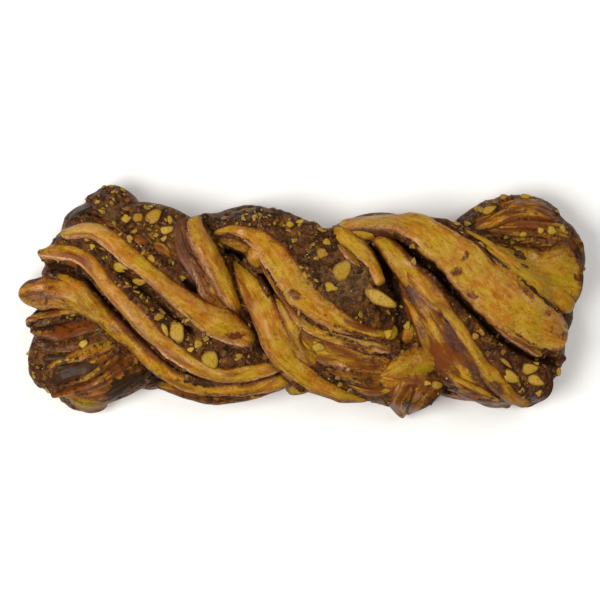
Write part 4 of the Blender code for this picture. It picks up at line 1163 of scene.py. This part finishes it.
def tree_of(objects):
    """A search tree over some meshes, in millimetres, and the number of faces of the first."""
    points = []
    faces = []
    for thing in objects:
        first = len(points)
        points.extend(points_of(thing.data).tolist())
        faces.extend([[corner + first for corner in face.vertices] for face in thing.data.polygons])
    return BVHTree.FromPolygons(points, faces), len(objects[0].data.polygons)


def drop(search, x, y):
    """The point, normal and face that lie under a place in plan."""
    point, normal, face, _ = search.ray_cast(Vector((x, y, 200)), Vector((0, 0, -1)))
    return point, normal, face


def broad_normal(search, x, y, reach):
    """The direction of the surface round a place, from points on a ring about it."""
    spots = []
    for step in range(8):
        turn = math.tau * step / 8
        point, _, _ = drop(search, x + reach * math.cos(turn), y + reach * math.sin(turn))
        if point is not None:
            spots.append(point)
    centre = sum(spots, Vector((0, 0, 0))) / max(len(spots), 1)
    total = Vector((0, 0, 0))
    for first, second in zip(spots, spots[1:] + spots[:1]):
        total += (first - centre).cross(second - centre)
    if total.length < 1e-6:
        return Vector((0, 0, 1)), centre
    return total.normalized(), centre


def flake_shape(length, width, turn, seed):
    """Points, faces and rim share of one flaked almond lying flat: a thin curved teardrop."""
    rings = [(0.0, 1.0), (0.45, 0.98), (0.8, 0.86), (0.96, 0.5), (1.0, 0.0), (0.96, -0.5), (0.8, -0.86), (0.0, -1.0)]
    sides = 22
    angle = 2 * np.pi * np.arange(sides) / sides
    circle = np.stack([np.cos(angle), np.sin(angle), np.full(sides, 3.3 * seed)], 1)
    broken = 0.2 if length > 7.5 else 0.4
    ragged = 1 + broken * waves(circle, 0.8, 5) + 0.08 * waves(circle, 0.3, 6)
    outline_x = np.cos(angle) * ragged
    outline_y = np.sin(angle) * (1 - 0.35 * np.cos(angle)) * ragged
    thickness = 0.55 + 0.02 * width
    points = []
    rim = []
    for reach, lift in rings:
        x = outline_x * reach * length / 2
        y = outline_y * reach * width / 2
        bend = 0.035 * length * (1 - (2 * x / length)**2) - 0.03 * y * y / max(width, 1)
        points.append(np.stack([x, y, bend + lift * thickness], 1))
        rim.append(np.full(sides, reach))
    points = np.concatenate(points)
    rows = len(rings)
    faces = []
    for face in grid_faces(rows - 2, sides, sides):
        faces.append(face[::-1])
    top = len(points)
    points = np.concatenate([points, points[:sides].mean(0)[None], points[-sides:].mean(0)[None]])
    rim = np.concatenate(rim + [np.zeros(2)])
    for side in range(sides):
        after = (side + 1) % sides
        faces.append([top, sides + side, sides + after])
        faces.append([top + 1, (rows - 2) * sides + after, (rows - 2) * sides + side])
    used = np.unique(np.concatenate([np.array(face) for face in faces]))
    renumber = np.full(len(points), -1)
    renumber[used] = np.arange(len(used))
    points = points[used]
    rim = rim[used]
    faces = [[int(renumber[corner]) for corner in face] for face in faces]
    spin = math.radians(turn)
    turned = points.copy()
    turned[:, 0] = points[:, 0] * math.cos(spin) - points[:, 1] * math.sin(spin)
    turned[:, 1] = points[:, 0] * math.sin(spin) + points[:, 1] * math.cos(spin)
    return turned, faces, rim


def laid_on(points, place, normal):
    """Flat points moved to a place and tilted so that they lie on its normal."""
    turn = Vector((0, 0, 1)).rotation_difference(normal).to_matrix()
    return points @ np.array(turn).T + np.array(place)


def make_flakes(search):
    """The flaked almonds, each lying on what is under it."""
    points = []
    faces = []
    tints = []
    rims = []
    draws = np.random.default_rng(11)
    for index, (x, y, length, width, turn, *tucked) in enumerate(FLAKES):
        normal, centre = broad_normal(search, x, y, length * 0.3)
        normal = (normal + Vector((0, 0, 0.9))).normalized()
        under, _, _ = drop(search, x, y)
        if under is None:
            under = centre
        lean = Vector((draws.normal() * 0.12, draws.normal() * 0.12, 0))
        shape, shape_faces, rim = flake_shape(length, width, turn, index)
        _, ring = broad_normal(search, x, y, width * 0.25)
        height = min(max(centre.z, under.z, ring.z), under.z + 2.5) - sum(tucked)
        place = Vector((x, y, height)) + normal * 0.45
        first = sum(len(part) for part in points)
        points.append(laid_on(shape, place, (normal + lean).normalized()))
        faces.extend([[corner + first for corner in face] for face in shape_faces])
        tints.append(np.full(len(shape), draws.random()))
        rims.append(rim)
    return make_mesh("almond_flakes", np.concatenate(points), faces,
                     {"tint": np.concatenate(tints), "rim": np.concatenate(rims)})


def chip_shape(draws, flatness):
    """Points and faces of one angular chip, about 1 across."""
    mesh = bmesh.new()
    for _ in range(13):
        mesh.verts.new(Vector(draws.normal(size=3)).normalized())
    bmesh.ops.convex_hull(mesh, input=mesh.verts)
    mesh.verts.index_update()
    points = np.array([list(vertex.co) for vertex in mesh.verts])
    faces = [[vertex.index for vertex in face.verts] for face in mesh.faces]
    mesh.free()
    return points * np.array([1, draws.uniform(0.45, 0.85), flatness * draws.uniform(0.7, 1.2)]) / 2, faces


def under_flake(x, y):
    """Whether a place in plan lies under one of the larger flakes."""
    return any(math.hypot(x - flake[0], y - flake[1]) < 0.42 * flake[2] for flake in FLAKES if flake[2] > 7.5)


def make_crumbs(name, search, filling_faces, count, sizes, flatness, sunk, seed, spread, on_dough=0.0):
    """Many small irregular bits lying on the filling, as one mesh."""
    draws = np.random.default_rng(seed)
    shapes = [chip_shape(draws, flatness) for _ in range(24)]
    points = []
    faces = []
    tints = []
    first = 0
    placed = 0
    for _ in range(count * 12):
        if placed >= count:
            break
        x = draws.uniform(-160, 160)
        y = draws.uniform(-66, 66)
        chance = draws.random()
        if chance > spread(x, y) or under_flake(x, y):
            continue
        point, normal, face = drop(search, x, y)
        if point is None or normal.z < 0.35 or point.z < 14:
            continue
        if face >= filling_faces and draws.random() > on_dough:
            continue
        shape, shape_faces = shapes[int(draws.integers(len(shapes)))]
        size = sizes[0] + (sizes[1] - sizes[0]) * draws.random()**2
        spin = draws.uniform(0, math.tau)
        turned = np.stack([shape[:, 0] * math.cos(spin) - shape[:, 1] * math.sin(spin),
                           shape[:, 0] * math.sin(spin) + shape[:, 1] * math.cos(spin), shape[:, 2]], 1) * size
        lean = Vector((draws.normal() * 0.25, draws.normal() * 0.25, 0))
        place = point + normal * size * (0.5 * flatness - sunk)
        points.append(laid_on(turned, place, (normal + lean).normalized()))
        faces.extend([[corner + first for corner in face] for face in shape_faces])
        tints.append(np.full(len(shape), draws.random()))
        first += len(shape)
        placed += 1
    tints = np.concatenate(tints)
    crumbs = make_mesh(name, np.concatenate(points), faces, {"tint": tints, "rim": np.zeros(len(tints))})
    crumbs.data.shade_flat()
    return crumbs


def everywhere(x, y):
    """The same chance at each place."""
    return 1.0


def in_clusters(x, y):
    """A chance that changes from place to place, and is small in the smooth filling in the middle."""
    clusters = float(fade(waves([[x, y, 0]], 15, 31) + 0.6 * waves([[x, y, 0]], 7, 32), -0.4, 0.7)[0])
    smooth_middle = math.exp(-((x - 26) / 17)**2 - ((y - 10) / 17)**2)
    return (0.1 + 0.9 * clusters) * (1 - 0.75 * smooth_middle)


def make_floor():
    """A plain pale floor under the plait."""
    floor = make_mesh("floor", [(-2000, -2000, 0), (2000, -2000, 0), (2000, 2000, 0), (-2000, 2000, 0)],
                      [[0, 1, 2, 3]])
    material, tree, shader = new_material("pale_floor")
    shader.inputs["Base Color"].default_value = (0.88, 0.88, 0.87, 1)
    shader.inputs["Roughness"].default_value = 0.8
    floor.data.materials.append(material)


def make_light(name, place, size, power, warmth=(1, 1, 1)):
    """A soft square light that looks at the plait."""
    data = bpy.data.lights.new(name, "AREA")
    data.size = size
    data.energy = power
    data.color = warmth
    light = bpy.data.objects.new(name, data)
    light.location = place
    light.rotation_euler = (Vector((0, 0, 0.02)) - Vector(place)).to_track_quat("-Z", "Y").to_euler()
    bpy.context.scene.collection.objects.link(light)


def make_lights():
    """A key light high on the left, a weak fill on the right and a pale sky."""
    make_light("key", (-0.6, -0.2, 1.0), 0.7, 14.5, (1.0, 0.98, 0.94))
    make_light("fill", (0.6, 0.5, 1.0), 0.9, 7)
    world = bpy.data.worlds.new("sky")
    world.use_nodes = True
    world.node_tree.nodes["Background"].inputs["Color"].default_value = (1.0, 0.98, 0.95, 1)
    world.node_tree.nodes["Background"].inputs["Strength"].default_value = 0.3
    bpy.context.scene.world = world
    bpy.context.scene.view_settings.view_transform = "Standard"


def make_camera():
    """Straight down from far above, with the photograph's frame."""
    pixel = 0.56 * MM
    picture_width = 600 * pixel
    middle_of_view = Vector(((300 - 301.9) * pixel, (302 - 300) * pixel, 0.03))
    distance = 1.5
    data = bpy.data.cameras.new("camera")
    data.sensor_width = 36
    data.lens = 36 * distance / picture_width
    camera = bpy.data.objects.new("camera", data)
    camera.location = middle_of_view + Vector((0, 0, distance))
    bpy.context.scene.collection.objects.link(camera)
    bpy.context.scene.camera = camera


def finish_piece(piece, material):
    """Gives a piece its material and the body that it rides on."""
    piece.data.materials.append(material)
    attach(piece, BODY)
    return piece


make_camera()
make_lights()
make_floor()
filling = finish_piece(make_filling(), filling_material())
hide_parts(PLAIT)
dough = dough_material()
doughs = [finish_piece(make_dough(name, group), dough)
          for name, group in (("dough_band_one", "one"), ("dough_band_two", "two"), ("dough_band_three", "three"),
                              ("dough_tail", "tail"), ("dough_fan", "fan"))]
search, filling_faces = tree_of([filling] + doughs)
almond = tinted_material("almond", [colour(160, 128, 24), colour(146, 106, 18), colour(174, 138, 46),
                                    colour(152, 118, 22)], colour(108, 74, 12), 0.4)
nut = tinted_material("chopped_nuts", [colour(148, 112, 20), colour(122, 78, 16), colour(152, 122, 50),
                                       colour(100, 54, 14), colour(132, 108, 24)], colour(84, 50, 12), 0.45)
choc = tinted_material("chocolate_bits", [colour(46, 25, 12), colour(72, 42, 20), colour(98, 54, 22),
                                          colour(84, 56, 32)], colour(42, 23, 12), 0.4)
sugar = tinted_material("sugar", [colour(196, 180, 140), colour(150, 132, 96)], colour(140, 110, 70), 0.5)
finish_piece(make_flakes(search), almond)
finish_piece(make_crumbs("nut_bits", search, filling_faces, 340, (1.6, 5.6), 0.4, 0.06, 21, in_clusters), nut)
finish_piece(make_crumbs("chocolate_bits", search, filling_faces, 300, (2.0, 5.0), 0.6, 0.25, 22, everywhere), choc)
finish_piece(make_crumbs("sugar_specks", search, filling_faces, 110, (0.6, 1.2), 0.8, 0.1, 23, everywhere, 0.1),
             sugar)
